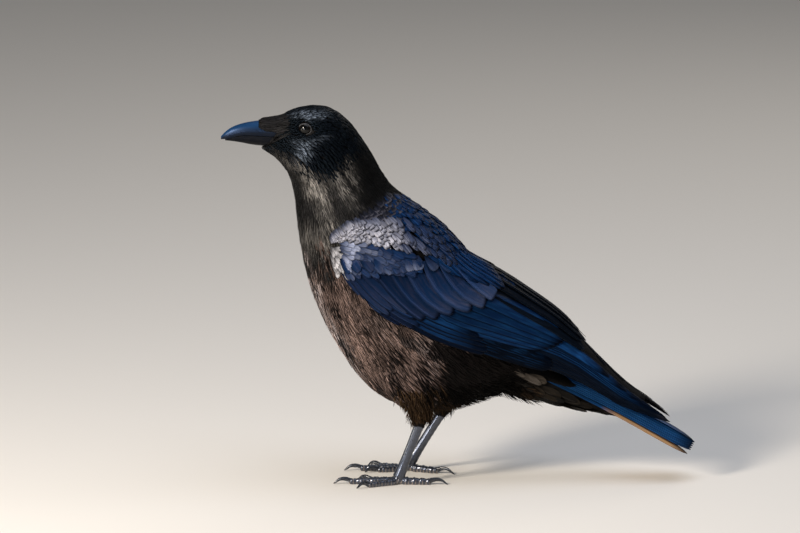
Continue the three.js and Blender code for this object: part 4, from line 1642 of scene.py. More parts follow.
# Its shades paint shade behind the thigh and under the tail.
VENT_TRACT = Tract(
    UNDERTAIL_FINISH, VENT_LIES, on_vent, shape=SCALE, ridge=0.12, jitter=5,
    sink=0.07, lift=1.0, lift_chance=0.25, tone=(0.25, 0.52), mottle=0.15,
    spots=(
        Spot(42, 101, 12, 9, 0.34, -30), Spot(66, 93, 5, 7, 0.22),
        Spot(80, 78, 25, 3, 0.06, -20),
    ),
    shades=(Spot(28, 78, 18, 14, 0.6), Spot(95, 70, 30, 9, 0.16, -28)),
)
MANTLE_TRACT = Tract(
    MANTLE, MANTLE_LIES, on_mantle, shape=TILE, ridge=0.1, jitter=4, roll=3,
    tone=(0.4, 0.6), mottle=0.15, mottling=Mottle(6.0),
)
BACK_TRACT = replace(
    MANTLE_TRACT, finish=BACK, keep=on_back, shape=SCALE, tone=(0.35, 0.6),
    mottle=0.1, mottling=Mottle(8.0),
)
# The shield's, bend's and lesser coverts' spots paint silver highlights where they face the
# light.
FRONT_SHIELD = Tract(
    SCAPULAR, SHIELD_LIES, SHIELD_FRONT, shape=TILE, ridge=0.08, jitter=4, sink=0.08,
    roll=3, tone=(0.42, 0.58), stand=0.6, uneven=0.3,
    spots=(
        Spot(-92, 225, 21, 11, 0.63, 3), Spot(-110, 219, 8, 8, 0.32),
        Spot(-66, 227, 14, 12, 0.5, -25), Spot(-43, 219, 9, 6, 0.16, -40),
    ),
)
REAR_SHIELD = replace(
    FRONT_SHIELD, keep=SHIELD_REAR, shape=SCALE, ridge=0.12, jitter=7, sink=0.07,
    roll=6, tone=(0.35, 0.65), uneven=0.5,
)
BEND_TRACT = Tract(
    SHOULDER_DOWN, LESSER_LIES, BEND, shape=SCALE, ridge=0.1, jitter=8, sink=0.05, roll=7,
    spots=(Spot(-107, 200, 11, 20, 0.82),), tone=(0.4, 0.6), stand=0.3, uneven=0.35,
)
LESSER_TRACT = Tract(
    LESSER_COVERT, LESSER_LIES, LESSER, shape=LONG_COVERT, ridge=0.1, sink=0.06, roll=3,
    tone=(0.3, 0.5), stand=0.8,
    spots=(
        Spot(-103, 199, 5, 13, 1.0, -10), Spot(-98, 211, 11, 2.5, 0.75, -5),
        Spot(-84, 204, 26, 8, 0.12, -15), Spot(-96, 196, 5, 6, 0.15, -30),
    ),
)
BRISTLE_TRACT = Tract(
    BRISTLE,
    Lies(
        (
            (-144, 317, 184, 17, 1.7, 1.5), (-150, 312, 187, 19, 1.7, 1.5),
            (-150, 305, 192, 19, 1.6, 1.5), (-160, 315, 183, 13, 1.5, 1.5),
            (-160, 306, 190, 12, 1.4, 1.5), (-168, 311, 188, 7, 1.3, 1.5),
        ),
        reach=4.0,
    ),
    on_pad, ridge=0.45, jitter=7, sink=0.03, roll=10, follow=0.4, lift=0.5,
    lift_chance=0.2, tone=(0.3, 0.8),
)


@dataclass
class BodyPlumage:
    """All feathers that grow on the head, neck, trunk and thighs."""

    skin: Skin
    seed: int = 11

    def build(self) -> None:
        """Grows every tract and puts its piece in the frame, in the order of its draws."""
        rng = np.random.default_rng(self.seed)
        body, whole = self.skin.body, self.skin.whole
        for name, surface, tracts, slot in (
            ("head_feathers", body, (HEAD_TRACT,), "contour_feathers"),
            ("neck_hackles", body, (NECK_TRACT,), "contour_feathers"),
            ("underparts_feathers", body, (UNDER_TRACT,), "underparts"),
            ("wing_edge_tufts", whole, (FRINGE_TRACT,), "underparts"),
            ("thigh_feathers", body, (THIGH_TRACT,), "underparts"),
            ("undertail_feathers", body, (VENT_TRACT,), "underparts"),
            ("mantle_feathers", whole, (MANTLE_TRACT,), "contour_feathers"),
            ("back_feathers", whole, (BACK_TRACT,), "contour_feathers"),
            ("shoulder_feathers", whole, (FRONT_SHIELD, REAR_SHIELD), "contour_feathers"),
            ("bend_feathers", whole, (BEND_TRACT,), "contour_feathers"),
        ):
            batches = [tract.grow(surface, rng) for tract in tracts]
            if isinstance(tracts[0].keep, RootGrid):
                batches = [b for grown in batches for b in (grown, mirrored(grown))]
            Coat(name, tracts[0].finish, self.skin, batches).build(rng, slot)


# -------- wings
HULL = (
    (-100, 230, -120, 184, 39.5), (-76, 249, -110, 148, 51.5), (-40, 237.5, -90, 117, 57),
    (-15.5, 217.5, -62, 96, 58.8), (8.5, 196.5, -34, 85, 57.5), (35, 182.5, -2, 78, 51),
    (61, 165, 31, 75, 43), (87, 145.5, 65, 72.5, 35), (111, 121, 100, 68, 27.5),
    (144, 88.5, 132, 55, 21), (165, 73.5, 156, 47, 17), (187, 56, 181, 43.5, 12.5),
)


@dataclass(frozen=True)
class Hull:
    """The smooth form both folded wings lie on, by place along it and angle round it.

    The place runs from 0 at the shoulder to 1 at the wing tip, and the angle from 0 on
    the back to 180 degrees below, by way of the left side.
    """

    along_step: float = 0.004  # for the slopes that give a normal
    round_step: float = 0.02
    core_rings: int = 40
    core_wall: float = 1.5

    def _point(self, along: np.ndarray, angle: np.ndarray) -> np.ndarray:
        """Works out points of the hull.

        Args:
            along: The place along the hull.
            angle: The angle round it, in radians.

        Returns:
            The points.
        """
        row = smooth_rows(HULL, along.ravel()).reshape(*along.shape, 5)
        top_x, top_z, low_x, low_z, half = np.moveaxis(row, -1, 0)
        c, s = np.cos(angle), np.sin(angle)
        x = (top_x + low_x) / 2 + (top_x - low_x) / 2 * c
        z = (top_z + low_z) / 2 + (top_z - low_z) / 2 * c
        return np.stack([x, -half * s, z], -1)

    def at(self, along: np.ndarray, degrees: np.ndarray) -> tuple[np.ndarray, np.ndarray]:
        """Finds places on the hull.

        Args:
            along: The place along the hull.
            degrees: The angle round it.

        Returns:
            The points and the outward normals there.
        """
        angle = np.radians(degrees)
        step, turn = self.along_step, self.round_step
        ahead = self._point(along + step, angle) - self._point(along - step, angle)
        down = self._point(along, angle + turn) - self._point(along, angle - turn)
        return self._point(along, angle), unit(np.cross(down, ahead))

    def core(self, depth: float, start: float, end: float, reach: float) -> BMesh:
        """Makes one dark arched shell under the feathers: inner webs and painted shade.

        Args:
            depth: How far it lies under the hull, in millimetres.
            start: Where it starts along the hull.
            end: Where it ends.
            reach: The angle that it reaches down to on both sides.

        Returns:
            The shell.
        """
        n = self.core_rings
        arc = np.linspace(-reach, reach, n)
        degrees = np.broadcast_to(np.concatenate([arc, arc[::-1]]), (n, 2 * n))
        along = np.broadcast_to(np.linspace(start, end, n)[:, None], degrees.shape)
        point, normal = self.at(along, degrees)
        sunk = np.where(np.arange(2 * n) < n, depth, depth + self.core_wall)
        return ringed_solid(point - normal * sunk[None, :, None])


@dataclass(frozen=True)
class FeatherRow:
    """A row of wing feathers on the hull, from the outermost to the innermost.

    Roots, middles and tips are places along the hull and angles round it.
    """

    count: int
    roots: Pairs
    mids: Pairs
    tips: Pairs
    widths: tuple[float, ...]  # half widths
    height: Pair = (0.0, 0.0)  # tip's height over the hull, outer to inner
    sink: float = 2.0  # how much lower the root lies
    roll: float = 5.0  # degrees, the lower rim out
    ridge: float = 0.8
    shape: FeatherShape = LONG_COVERT
    lean: Pair = (1.0, 1.0)  # share of the width below and above the shaft
    tone: tuple[float, ...] = (0.5, 0.5)  # outer to inner
    tone_wander: float = 0.06
    # How much painted gleam and wear each feather's open end shows, outer to inner.
    gleam_and_wear: tuple[float, ...] = (0.0, 0.0)

    def lay(self, hull: Hull, rng: Generator) -> Feathers:
        """Lays the row on the hull's left side.

        Args:
            hull: The hull of the folded wings.
            rng: The random draws.

        Returns:
            The row's feathers.
        """
        n = self.count
        at = np.linspace(0, 1, n)
        tables = (self.roots, self.mids, self.tips)
        t = np.asarray(self.shape.stations)[None, :, None]
        path = through(*(smooth_rows(rows, at)[:, None] for rows in tables), t)
        point, normal = hull.at(path[..., 0], path[..., 1])
        top = np.linspace(*self.height, n)[:, None]
        height = top - self.sink * (1 - t[..., 0]) ** 1.3
        tone = smooth_rows(self.tone, at)[:, 0] + rng.normal(0, self.tone_wander, n)
        gleam_and_wear = smooth_rows(self.gleam_and_wear, at)[:, 0] * rng.uniform(0.7, 1.3, n)
        return Feathers(
            self.shape, point + normal * height[..., None], normal,
            smooth_rows(self.widths, at)[:, 0], np.full(n, self.ridge),
            np.clip(tone, 0, 1), np.clip(gleam_and_wear, 0, 1),
            np.full(n, -math.radians(self.roll)), np.tile(self.lean, (n, 1)),
        )


MEDIAN_COVERTS = FeatherRow(
    11, ((0.055, 92), (0.109, 81), (0.152, 73), (0.194, 64), (0.226, 54), (0.277, 42)),
    ((0.078, 97), (0.128, 84), (0.170, 76), (0.206, 68), (0.236, 59), (0.302, 44)),
    ((0.100, 100), (0.148, 86), (0.188, 79), (0.218, 71), (0.246, 63), (0.330, 45)),
    (5.6, 6.4, 7.0, 7.0), height=(0.7, 0.7), sink=1.6, roll=3, ridge=0.4,
    shape=ROUND_COVERT, tone=(0.3, 0.35, 0.4, 0.42, 0.4, 0.35),
    gleam_and_wear=(0.02, 0.02, 0.05, 0.08, 0.25, 0.03, 0.06, 0.26, 0.3, 0.2, 0.05),
)
GREATER_COVERTS = FeatherRow(
    7,
    (
        (0.106, 94), (0.142, 82), (0.175, 72), (0.215, 62), (0.255, 52), (0.293, 43),
        (0.332, 32),
    ),
    (
        (0.192, 97), (0.213, 89), (0.243, 82.5), (0.281, 75), (0.324, 65), (0.368, 55),
        (0.398, 43),
    ),
    (
        (0.283, 93.5), (0.306, 91), (0.338, 84), (0.371, 74), (0.412, 66), (0.442, 59.5),
        (0.458, 50),
    ),
    (8.0, 9.0, 10.0, 10.0, 10.0), height=(-0.8, 1.2), sink=1.0, roll=8, ridge=0.2,
    shape=BLUNT_COVERT, lean=(0.85, 1.2), tone=(0.22, 0.34, 0.42, 0.5),
    gleam_and_wear=(0.0, 0.02, 0.04, 0.08),
)
PRIMARY_COVERTS = FeatherRow(
    5, ((0.082, 106), (0.094, 101), (0.104, 97.5), (0.113, 94)),
    ((0.165, 109.5), (0.179, 104.5), (0.185, 99.5), (0.188, 95.5)),
    ((0.254, 107), (0.300, 101), (0.292, 96.5), (0.262, 95)), (4.0, 4.5, 5.0),
    height=(-1.7, -0.7), sink=0.8, roll=6, ridge=0.4, lean=(0.7, 1.3),
    tone=(0.06, 0.14, 0.28), gleam_and_wear=(0.0, 0.05),
)
ALULA = FeatherRow(
    3, ((0.073, 107), (0.083, 102), (0.095, 97)),
    ((0.135, 109), (0.148, 106), (0.160, 101)), ((0.205, 108), (0.222, 105), (0.225, 100)),
    (3.6, 4.2, 4.6), height=(-0.9, 0.0), sink=1.0, roll=6, ridge=0.4,
    tone=(0.18, 0.26), gleam_and_wear=(0.04, 0.02),
)
OUTER_SECONDARIES = FeatherRow(
    5, ((0.236, 104), (0.232, 100.5), (0.236, 97.5), (0.238, 95), (0.241, 92)),
    ((0.364, 100), (0.359, 96.5), (0.355, 92.5), (0.351, 89.5), (0.352, 85)),
    ((0.482, 103), (0.489, 99), (0.482, 94), (0.468, 89.5), (0.456, 87)), (5.0, 5.5, 6.0),
    height=(-2.8, -1.2), sink=0.5, roll=9, ridge=0.5, shape=FLIGHT_VANE, lean=(0.7, 1.3),
    tone=(0.15, 0.35, 0.5, 0.5), tone_wander=0.1,
)
LOWER_SECONDARIES = FeatherRow(
    6, ((0.43, 98), (0.43, 94), (0.43, 90), (0.42, 86)),
    ((0.54, 101), (0.55, 97), (0.55, 92), (0.54, 87)),
    ((0.645, 104), (0.656, 99), (0.656, 94), (0.648, 89)), (5.5, 6.0, 6.5),
    height=(-3.4, -1.9), sink=0.5, roll=9, ridge=0.5, shape=FLIGHT_VANE, lean=(0.7, 1.3),
    tone=(0.3, 0.4, 0.5, 0.6), tone_wander=0.05,
)
INNER_SECONDARIES = FeatherRow(
    6, ((0.316, 84), (0.325, 80), (0.335, 76), (0.348, 70), (0.364, 63), (0.378, 55)),
    ((0.470, 83), (0.485, 79), (0.493, 74), (0.505, 68), (0.515, 62), (0.525, 54)),
    ((0.614, 79), (0.630, 75), (0.643, 70), (0.653, 64), (0.661, 58), (0.668, 52)),
    (7.0, 8.0, 9.0), height=(-1.4, -0.1), sink=0.5, roll=5, ridge=0.4, shape=FLIGHT_VANE,
    lean=(0.65, 1.35), tone=(0.5, 0.42, 0.45),
)
TERTIALS = FeatherRow(
    5, ((0.36, 38), (0.355, 28), (0.35, 18), (0.35, 9), (0.35, 2)),
    ((0.575, 43), (0.57, 30), (0.565, 18), (0.56, 9), (0.55, 2)),
    ((0.722, 41), (0.712, 29), (0.722, 18), (0.700, 9), (0.68, 3)), (8.0, 8.0, 7.0, 6.0),
    height=(0.0, 0.8), sink=1.5, roll=5, ridge=0.5, shape=FLIGHT_VANE, lean=(0.9, 1.1),
    tone=(0.6, 0.4, 0.35),
)
LONG_SCAPULARS = FeatherRow(
    10, ((0.205, 45), (0.225, 34), (0.24, 24), (0.25, 12), (0.26, 4)),
    ((0.294, 44), (0.317, 35), (0.358, 24), (0.355, 12), (0.35, 4)),
    ((0.362, 42), (0.413, 40), (0.475, 35), (0.455, 22), (0.43, 9)), (7.0, 8.0, 8.5, 7.5),
    height=(0.6, 1.2), sink=1.6, roll=3, ridge=0.4, tone=(0.45, 0.5, 0.45),
)
PRIMARIES = FeatherRow(
    5, ((0.490, 82), (0.502, 78), (0.524, 72), (0.545, 64)),
    ((0.726, 72), (0.728, 66), (0.715, 62), (0.701, 60)),
    ((0.966, 67), (0.925, 60), (0.850, 54), (0.785, 52)), (4.6, 5.2, 6.0),
    height=(-2.2, -1.4), sink=0.4, roll=7, ridge=0.5, shape=TAPERED_VANE, lean=(0.7, 1.3),
    tone=(0.55, 0.75, 0.85), tone_wander=0.05,
)
OUTER_PRIMARIES = replace(
    PRIMARIES, roots=((0.464, 89), (0.473, 86), (0.482, 83)),
    mids=((0.713, 98), (0.717, 89), (0.724, 79)),
    tips=((0.989, 90), (0.980, 81), (0.971, 72)),
    widths=(4.2, 4.4, 4.6), height=(-3.0, -2.3), tone=(0.45, 0.6),
)
# The far wing's tips cross over the middle, so a black strip of them shows.
# Their low tone paints the shade on the far wing, which faces away from the light.
CROSSED_PRIMARIES = replace(
    OUTER_PRIMARIES, count=8,
    roots=tuple((u, a - 33) for u, a in OUTER_PRIMARIES.roots + PRIMARIES.roots),
    mids=tuple((u, a - 42) for u, a in OUTER_PRIMARIES.mids + PRIMARIES.mids),
    tips=((0.988, 62), (0.978, 44), (0.965, 30), (0.915, 12), (0.84, -6), (0.775, -22)),
    height=(-3.4, -3.0), tone=(0.12, 0.12), tone_wander=0.04,
)


def mirrored(feathers: Feathers) -> Feathers:
    """Mirrors feathers to the bird's other side.

    Args:
        feathers: The feathers.

    Returns:
        Their mirror image.
    """
    flip = np.array([1.0, -1.0, 1.0])
    lean = None if feathers.lean is None else feathers.lean[:, ::-1]
    return replace(
        feathers, line=feathers.line * flip, normal=feathers.normal * flip,
        roll=-feathers.roll, lean=lean,
    )


WingPiece = tuple[str, PlumageFinish, tuple["FeatherRow | Tract", ...], str]


@dataclass
class Wings:
    """Both folded wings: coverts, secondaries, tertials and primaries."""

    skin: Skin
    seed: int = 23
    dark_shell_depth: float = 3.6  # how deep the shell of webs and painted shade lies, mm
    dark_shell_span: Pair = (0.08, 0.9)
    dark_shell_reach: float = 104.0

    def build(self) -> None:
        """Lays both wings and puts their pieces in the frame."""
        hull = Hull()
        for side, word in SIDES.items():
            rng = np.random.default_rng(self.seed)
            for name, finish, rows, node in self._pieces(side):
                laid = [
                    row.lay(hull, rng) if isinstance(row, FeatherRow)
                    else row.grow(self.skin.whole, rng)
                    for row in rows
                ]
                laid = laid if side == LEFT else [mirrored(batch) for batch in laid]
                coat = Coat(f"{name}_{word}", finish, self.skin, laid)
                coat.build(rng, "flight_feathers", *([f"{node}_{word}"] if node else ()))
        # A dark shell under the vanes: their inner webs, and painted shade in their gaps.
        core = hull.core(self.dark_shell_depth, *self.dark_shell_span, self.dark_shell_reach)
        settle(finish_mesh("wing_webs_and_shade", core, SKIN.material()), "flight_feathers")

    def _pieces(self, side: int) -> tuple[WingPiece, ...]:
        """Lists a wing's pieces in the order of their draws.

        Args:
            side: LEFT or RIGHT.

        Returns:
            Each piece's name, finish and rows, and the node that it stands for.
        """
        coverts = (PRIMARY_COVERTS, ALULA, GREATER_COVERTS, MEDIAN_COVERTS)
        tips = {
            LEFT: (
                ("primary_feathers", FLIGHT, (PRIMARIES,), "primaries"),
                ("outer_primary_feathers", BLACK_FLIGHT, (OUTER_PRIMARIES,), "primaries"),
            ),
            RIGHT: (
                ("outer_primary_feathers", BLACK_FLIGHT, (CROSSED_PRIMARIES,), "primaries"),
            ),
        }
        return (
            ("lesser_covert_feathers", LESSER_COVERT, (LESSER_TRACT,), ""),
            ("covert_feathers", COVERT, coverts, "wing"),
            ("lower_secondary_feathers", DARK_FLIGHT, (LOWER_SECONDARIES,), ""),
            ("outer_secondary_feathers", FLIGHT, (OUTER_SECONDARIES,), ""),
            ("inner_secondary_feathers", INNER_FLIGHT, (INNER_SECONDARIES,), ""),
            ("tertial_feathers", TERTIAL, (TERTIALS,), ""),
            ("scapular_feathers", BACK, (LONG_SCAPULARS,), ""), *tips[side],
        )


# -------- tail
@dataclass
class Tail:
    """Twelve tail feathers, folded like a low roof."""

    skin: Skin
    root: Pair = (50.0, 107.0)
    tip: Pair = (203.6, 32.5)
    droop: float = 20.0  # degrees that each half slopes down from the middle
    bow: float = 3.5
    half_widths: tuple[float, ...] = (14, 16.5, 19, 21, 22.8, 24.3, 25.2, 25.4)
    corner: float = 5.0
    roll: float = 4.0  # degrees
    edge_roll: float = 10.0  # the outermost pair hangs steeper and shows brown
    pairs: int = 6
    inner: Pair = (0.08, 0.5)  # how far out the pairs lie, first to fifth
    outer: float = 0.76  # and the outermost
    layer: float = 0.42  # how much lower each pair lies than the one inside it
    lean: Pair = (0.75, 1.25)
    vane: float = 7.6
    seed: int = 31

    def build(self) -> None:
        """Lays the tail feathers."""
        rng = np.random.default_rng(self.seed)
        halves = [self._half(side) for side in SIDES]
        coat = Coat("tail_feathers", TAIL_VANE, self.skin, halves)
        coat.build(rng, "flight_feathers", "tail")

    def _half(self, side: int) -> Feathers:
        """Lays one side's feathers, from the middle pair outwards.

        Args:
            side: LEFT or RIGHT.

        Returns:
            The feathers.
        """
        n = self.pairs
        stations = np.asarray(TAIL_SHAPE.stations)
        root = np.array([self.root[0], 0, self.root[1]])
        tip = np.array([self.tip[0], 0, self.tip[1]])
        length = np.linalg.norm(tip - root)
        along = (tip - root) / length
        up = np.array([-along[2], 0, along[0]])
        slope = math.tan(math.radians(self.droop))
        share = np.append(np.linspace(*self.inner, n - 1), self.outer)[:, None]
        out = share * smooth_rows(self.half_widths, stations)[:, 0]
        reach = stations * (length - self.corner * share**2) - 1.5 * (1 - stations)
        layer = -self.layer * np.arange(n)[:, None] * np.ones_like(reach)
        layer[-1] -= 0.5 * stations
        rise = -out * slope + self.bow * np.sin(math.pi * stations) + layer - 0.5
        line = root + along * reach[..., None] + up * rise[..., None]
        line = line + np.array([0, side, 0]) * out[..., None]
        tilt = unit(up + np.array([0, side * slope, 0]))
        outermost = np.arange(n) == n - 1
        roll = np.radians(np.where(outermost, self.edge_roll, self.roll))
        return Feathers(
            TAIL_SHAPE, line, np.broadcast_to(tilt, line.shape), np.full(n, self.vane),
            np.full(n, 0.8), np.linspace(0.7, 0.6, n), outermost.astype(float),
            side * roll, np.tile(self.lean if side == LEFT else self.lean[::-1], (n, 1)),
        )


# -------- bill and eyes
@dataclass
class Bill:
    """The bill's two halves and the bristles over its nostrils."""

    skin: Skin
    upper: tuple[Row, ...] = (  # x, upper line, lower line, half width
        (-146, 316, 299.3, 9.7), (-153, 315, 299.1, 9.3), (-161, 313.6, 299.2, 8.6),
        (-170.5, 312.4, 299.6, 7.5), (-181, 310.9, 300, 6.3), (-188.7, 309, 299.4, 5.2),
        (-195.3, 306.3, 297.8, 4), (-200.7, 302.4, 296.4, 2.6), (-204.4, 298.4, 295.9, 0.9),
    )
    lower: tuple[Row, ...] = (
        (-146, 299, 290, 9.3), (-153, 298.8, 290.2, 8.9), (-161, 298.9, 290.4, 8.2),
        (-170.5, 299.3, 290.6, 7.1), (-179, 299.6, 291.6, 6), (-185.5, 299.2, 292.9, 4.9),
        (-191, 298.4, 293.8, 3.7), (-196, 297.4, 294.5, 2.4), (-200.8, 296.4, 294.9, 1.1),
    )
    # Where the gleam on the sides starts: x from the base, and share of the height.
    gleam: tuple[Row, Row] = ((160, 175, 190, 204), (0.36, 0.36, 0.42, 0.48))
    sides: int = 32
    rings: int = 44
    crease: float = 50.0  # degrees
    seed: int = 41

    def build(self) -> None:
        """Makes both halves and the bristles."""
        for name, rows, arch, finish, node in (
            ("upper_bill", self.upper, 1, BILL_HORN, "upper_mandible"),
            ("lower_bill", self.lower, -1, LOWER_HORN, "lower_mandible"),
        ):
            bm = ringed_solid(self._rings(rows, arch))
            if arch > 0:
                self._light_up(bm)
            piece = finish_mesh(name, bm, finish.material())
            piece.data.set_sharp_from_angle(angle=math.radians(self.crease))
            settle(piece, "horn", node)
        rng = np.random.default_rng(self.seed)
        grown = [BRISTLE_TRACT.grow(self.skin.body, rng)]
        coat = Coat("nasal_bristle_feathers", BRISTLE, self.skin, grown)
        coat.build(rng, "contour_feathers", "nasal_bristles")

    def _light_up(self, bm: BMesh) -> None:
        """Marks the bill's upper sides, where a painted blue reflection of the sky shows.

        Args:
            bm: The upper half, which takes the "lit" attribute.
        """
        lit = bm.verts.layers.float.new("lit")
        x, high, low, _ = np.array(self.upper).T
        for vert in bm.verts:
            top, base = (np.interp(-vert.co.x, -x, line) for line in (high, low))
            up = (vert.co.z - base) / max(top - base, 0.5)
            edge = float(np.interp(-vert.co.x, *self.gleam))
            # It comes up over two fifths of the height.
            vert[lit] = min(1.0, max(0.0, (up - edge) / 0.4 + 0.1))

    def _rings(self, rows: Sequence[Row], arch: int) -> np.ndarray:
        """Works out one half's rings.

        Args:
            rows: Its sections from root to tip.
            arch: 1 for the upper half, flat below, and -1 for the lower one.

        Returns:
            Points by ring, side and axis.
        """
        turn = around(self.sides)
        c, s = np.cos(turn), np.sin(turn)
        rings = np.empty((self.rings, self.sides, 3))
        table = smooth_rows(rows, np.linspace(0, 1, self.rings))
        for i, (x, high, low, width) in enumerate(table):
            flat = low if arch > 0 else high
            rise = (high - low) * np.abs(c) ** (0.92 if arch > 0 else 0.8)
            # The sides swell a little under the ridge and draw in at the cutting edge.
            outward = np.sign(s) * np.abs(s) ** 0.82 * width
            arched = c * arch > 0
            z = np.where(arched, flat + arch * rise, flat + 0.12 * arch)
            outward = np.where(arched, outward, outward * 0.9)
            rings[i] = np.stack([np.full(self.sides, x), outward, z], 1)
        return rings


@dataclass
class Eyes:
    """The eyeballs with their lids."""

    radius: float = 6.2
    lid_half: Pair = (5.6, 4.7)
    lid_out: float = 4.2  # the lids' plane from the eye's centre
    lid_tube: float = 0.6
    lid_rings: int = 57
    lid_sides: int = 12

    def build(self) -> None:
        """Makes both eyes and their lids."""
        glass = eye_material()
        for side, word in SIDES.items():
            # An eye looks outwards and a little forwards.
            axis = unit(np.array([-0.22, side, 0.04]))
            centre = np.array(EYE) * [1, side, 1]
            ball = finish_mesh(f"eyeball_{word}", self._ball(centre, axis), glass)
            settle(ball, "eye", f"eye_{word}")
            lids = finish_mesh(f"eyelids_{word}", self._lids(centre, axis), LID.material())
            settle(lids, "contour_feathers")

    def _ball(self, centre: np.ndarray, axis: np.ndarray) -> BMesh:
        """Makes one eyeball, with its iris mapped by angle and distance from the axis.

        Args:
            centre: The eye's centre.
            axis: The way that it looks.

        Returns:
            The eyeball.
        """
        bm = bmesh.new()
        bmesh.ops.create_uvsphere(bm, u_segments=48, v_segments=32, radius=self.radius)
        turn = Vector((0, 0, 1)).rotation_difference(Vector(axis))
        bmesh.ops.rotate(bm, verts=bm.verts, cent=(0, 0, 0), matrix=turn.to_matrix())
        layer = bm.loops.layers.uv.new("iris")
        back = turn.inverted()
        for face in bm.faces:
            for loop in face.loops:
                local = back @ loop.vert.co
                angle = math.atan2(local.y, local.x) / FULL_TURN + 0.5
                off = math.acos(max(-1, min(1, local.z / self.radius))) / (math.pi / 2)
                loop[layer].uv = (angle, off)
        bmesh.ops.translate(bm, verts=bm.verts, vec=Vector(centre))
        return bm

    def _lids(self, centre: np.ndarray, axis: np.ndarray) -> BMesh:
        """Makes the ring of bare lid skin round one eye.

        Args:
            centre: The eye's centre.
            axis: The way that it looks.

        Returns:
            The ring, closed on itself.
        """
        level = unit(np.cross([0, 0, 1.0], axis))
        up = np.cross(axis, level)
        tube = around(self.lid_sides)
        rings = np.empty((self.lid_rings, self.lid_sides, 3))
        for i, a in enumerate(np.linspace(0, FULL_TURN, self.lid_rings)):
            wide, tall = self.lid_half
            out = level * math.cos(a) * wide + up * math.sin(a) * tall
            # A lid is a little thicker below.
            fat = self.lid_tube * (1.0 + 0.25 * (math.sin(a) < 0) * abs(math.sin(a)))
            deep = math.sqrt(max(self.radius**2 - out @ out, 1.0))
            round_tube = np.cos(tube)[:, None] * unit(out) + np.sin(tube)[:, None] * axis
            rings[i] = centre + out + axis * min(deep, self.lid_out) + round_tube * fat
        bm = ringed_solid(rings)
        bmesh.ops.remove_doubles(bm, verts=bm.verts, dist=0.01)
        return bm


# -------- legs
@dataclass(frozen=True)
class Toe:
    """One toe: length without the claw, root radius and claw length."""

    name: str
    length: float
    radius: float
    claw: float


TOES = (
    Toe("middle", 42.5, 3.5, 14.5), Toe("inner", 28.0, 3.2, 12.0),
    Toe("outer", 31.0, 3.1, 12.0), Toe("hind", 27.5, 3.6, 16.0),
)


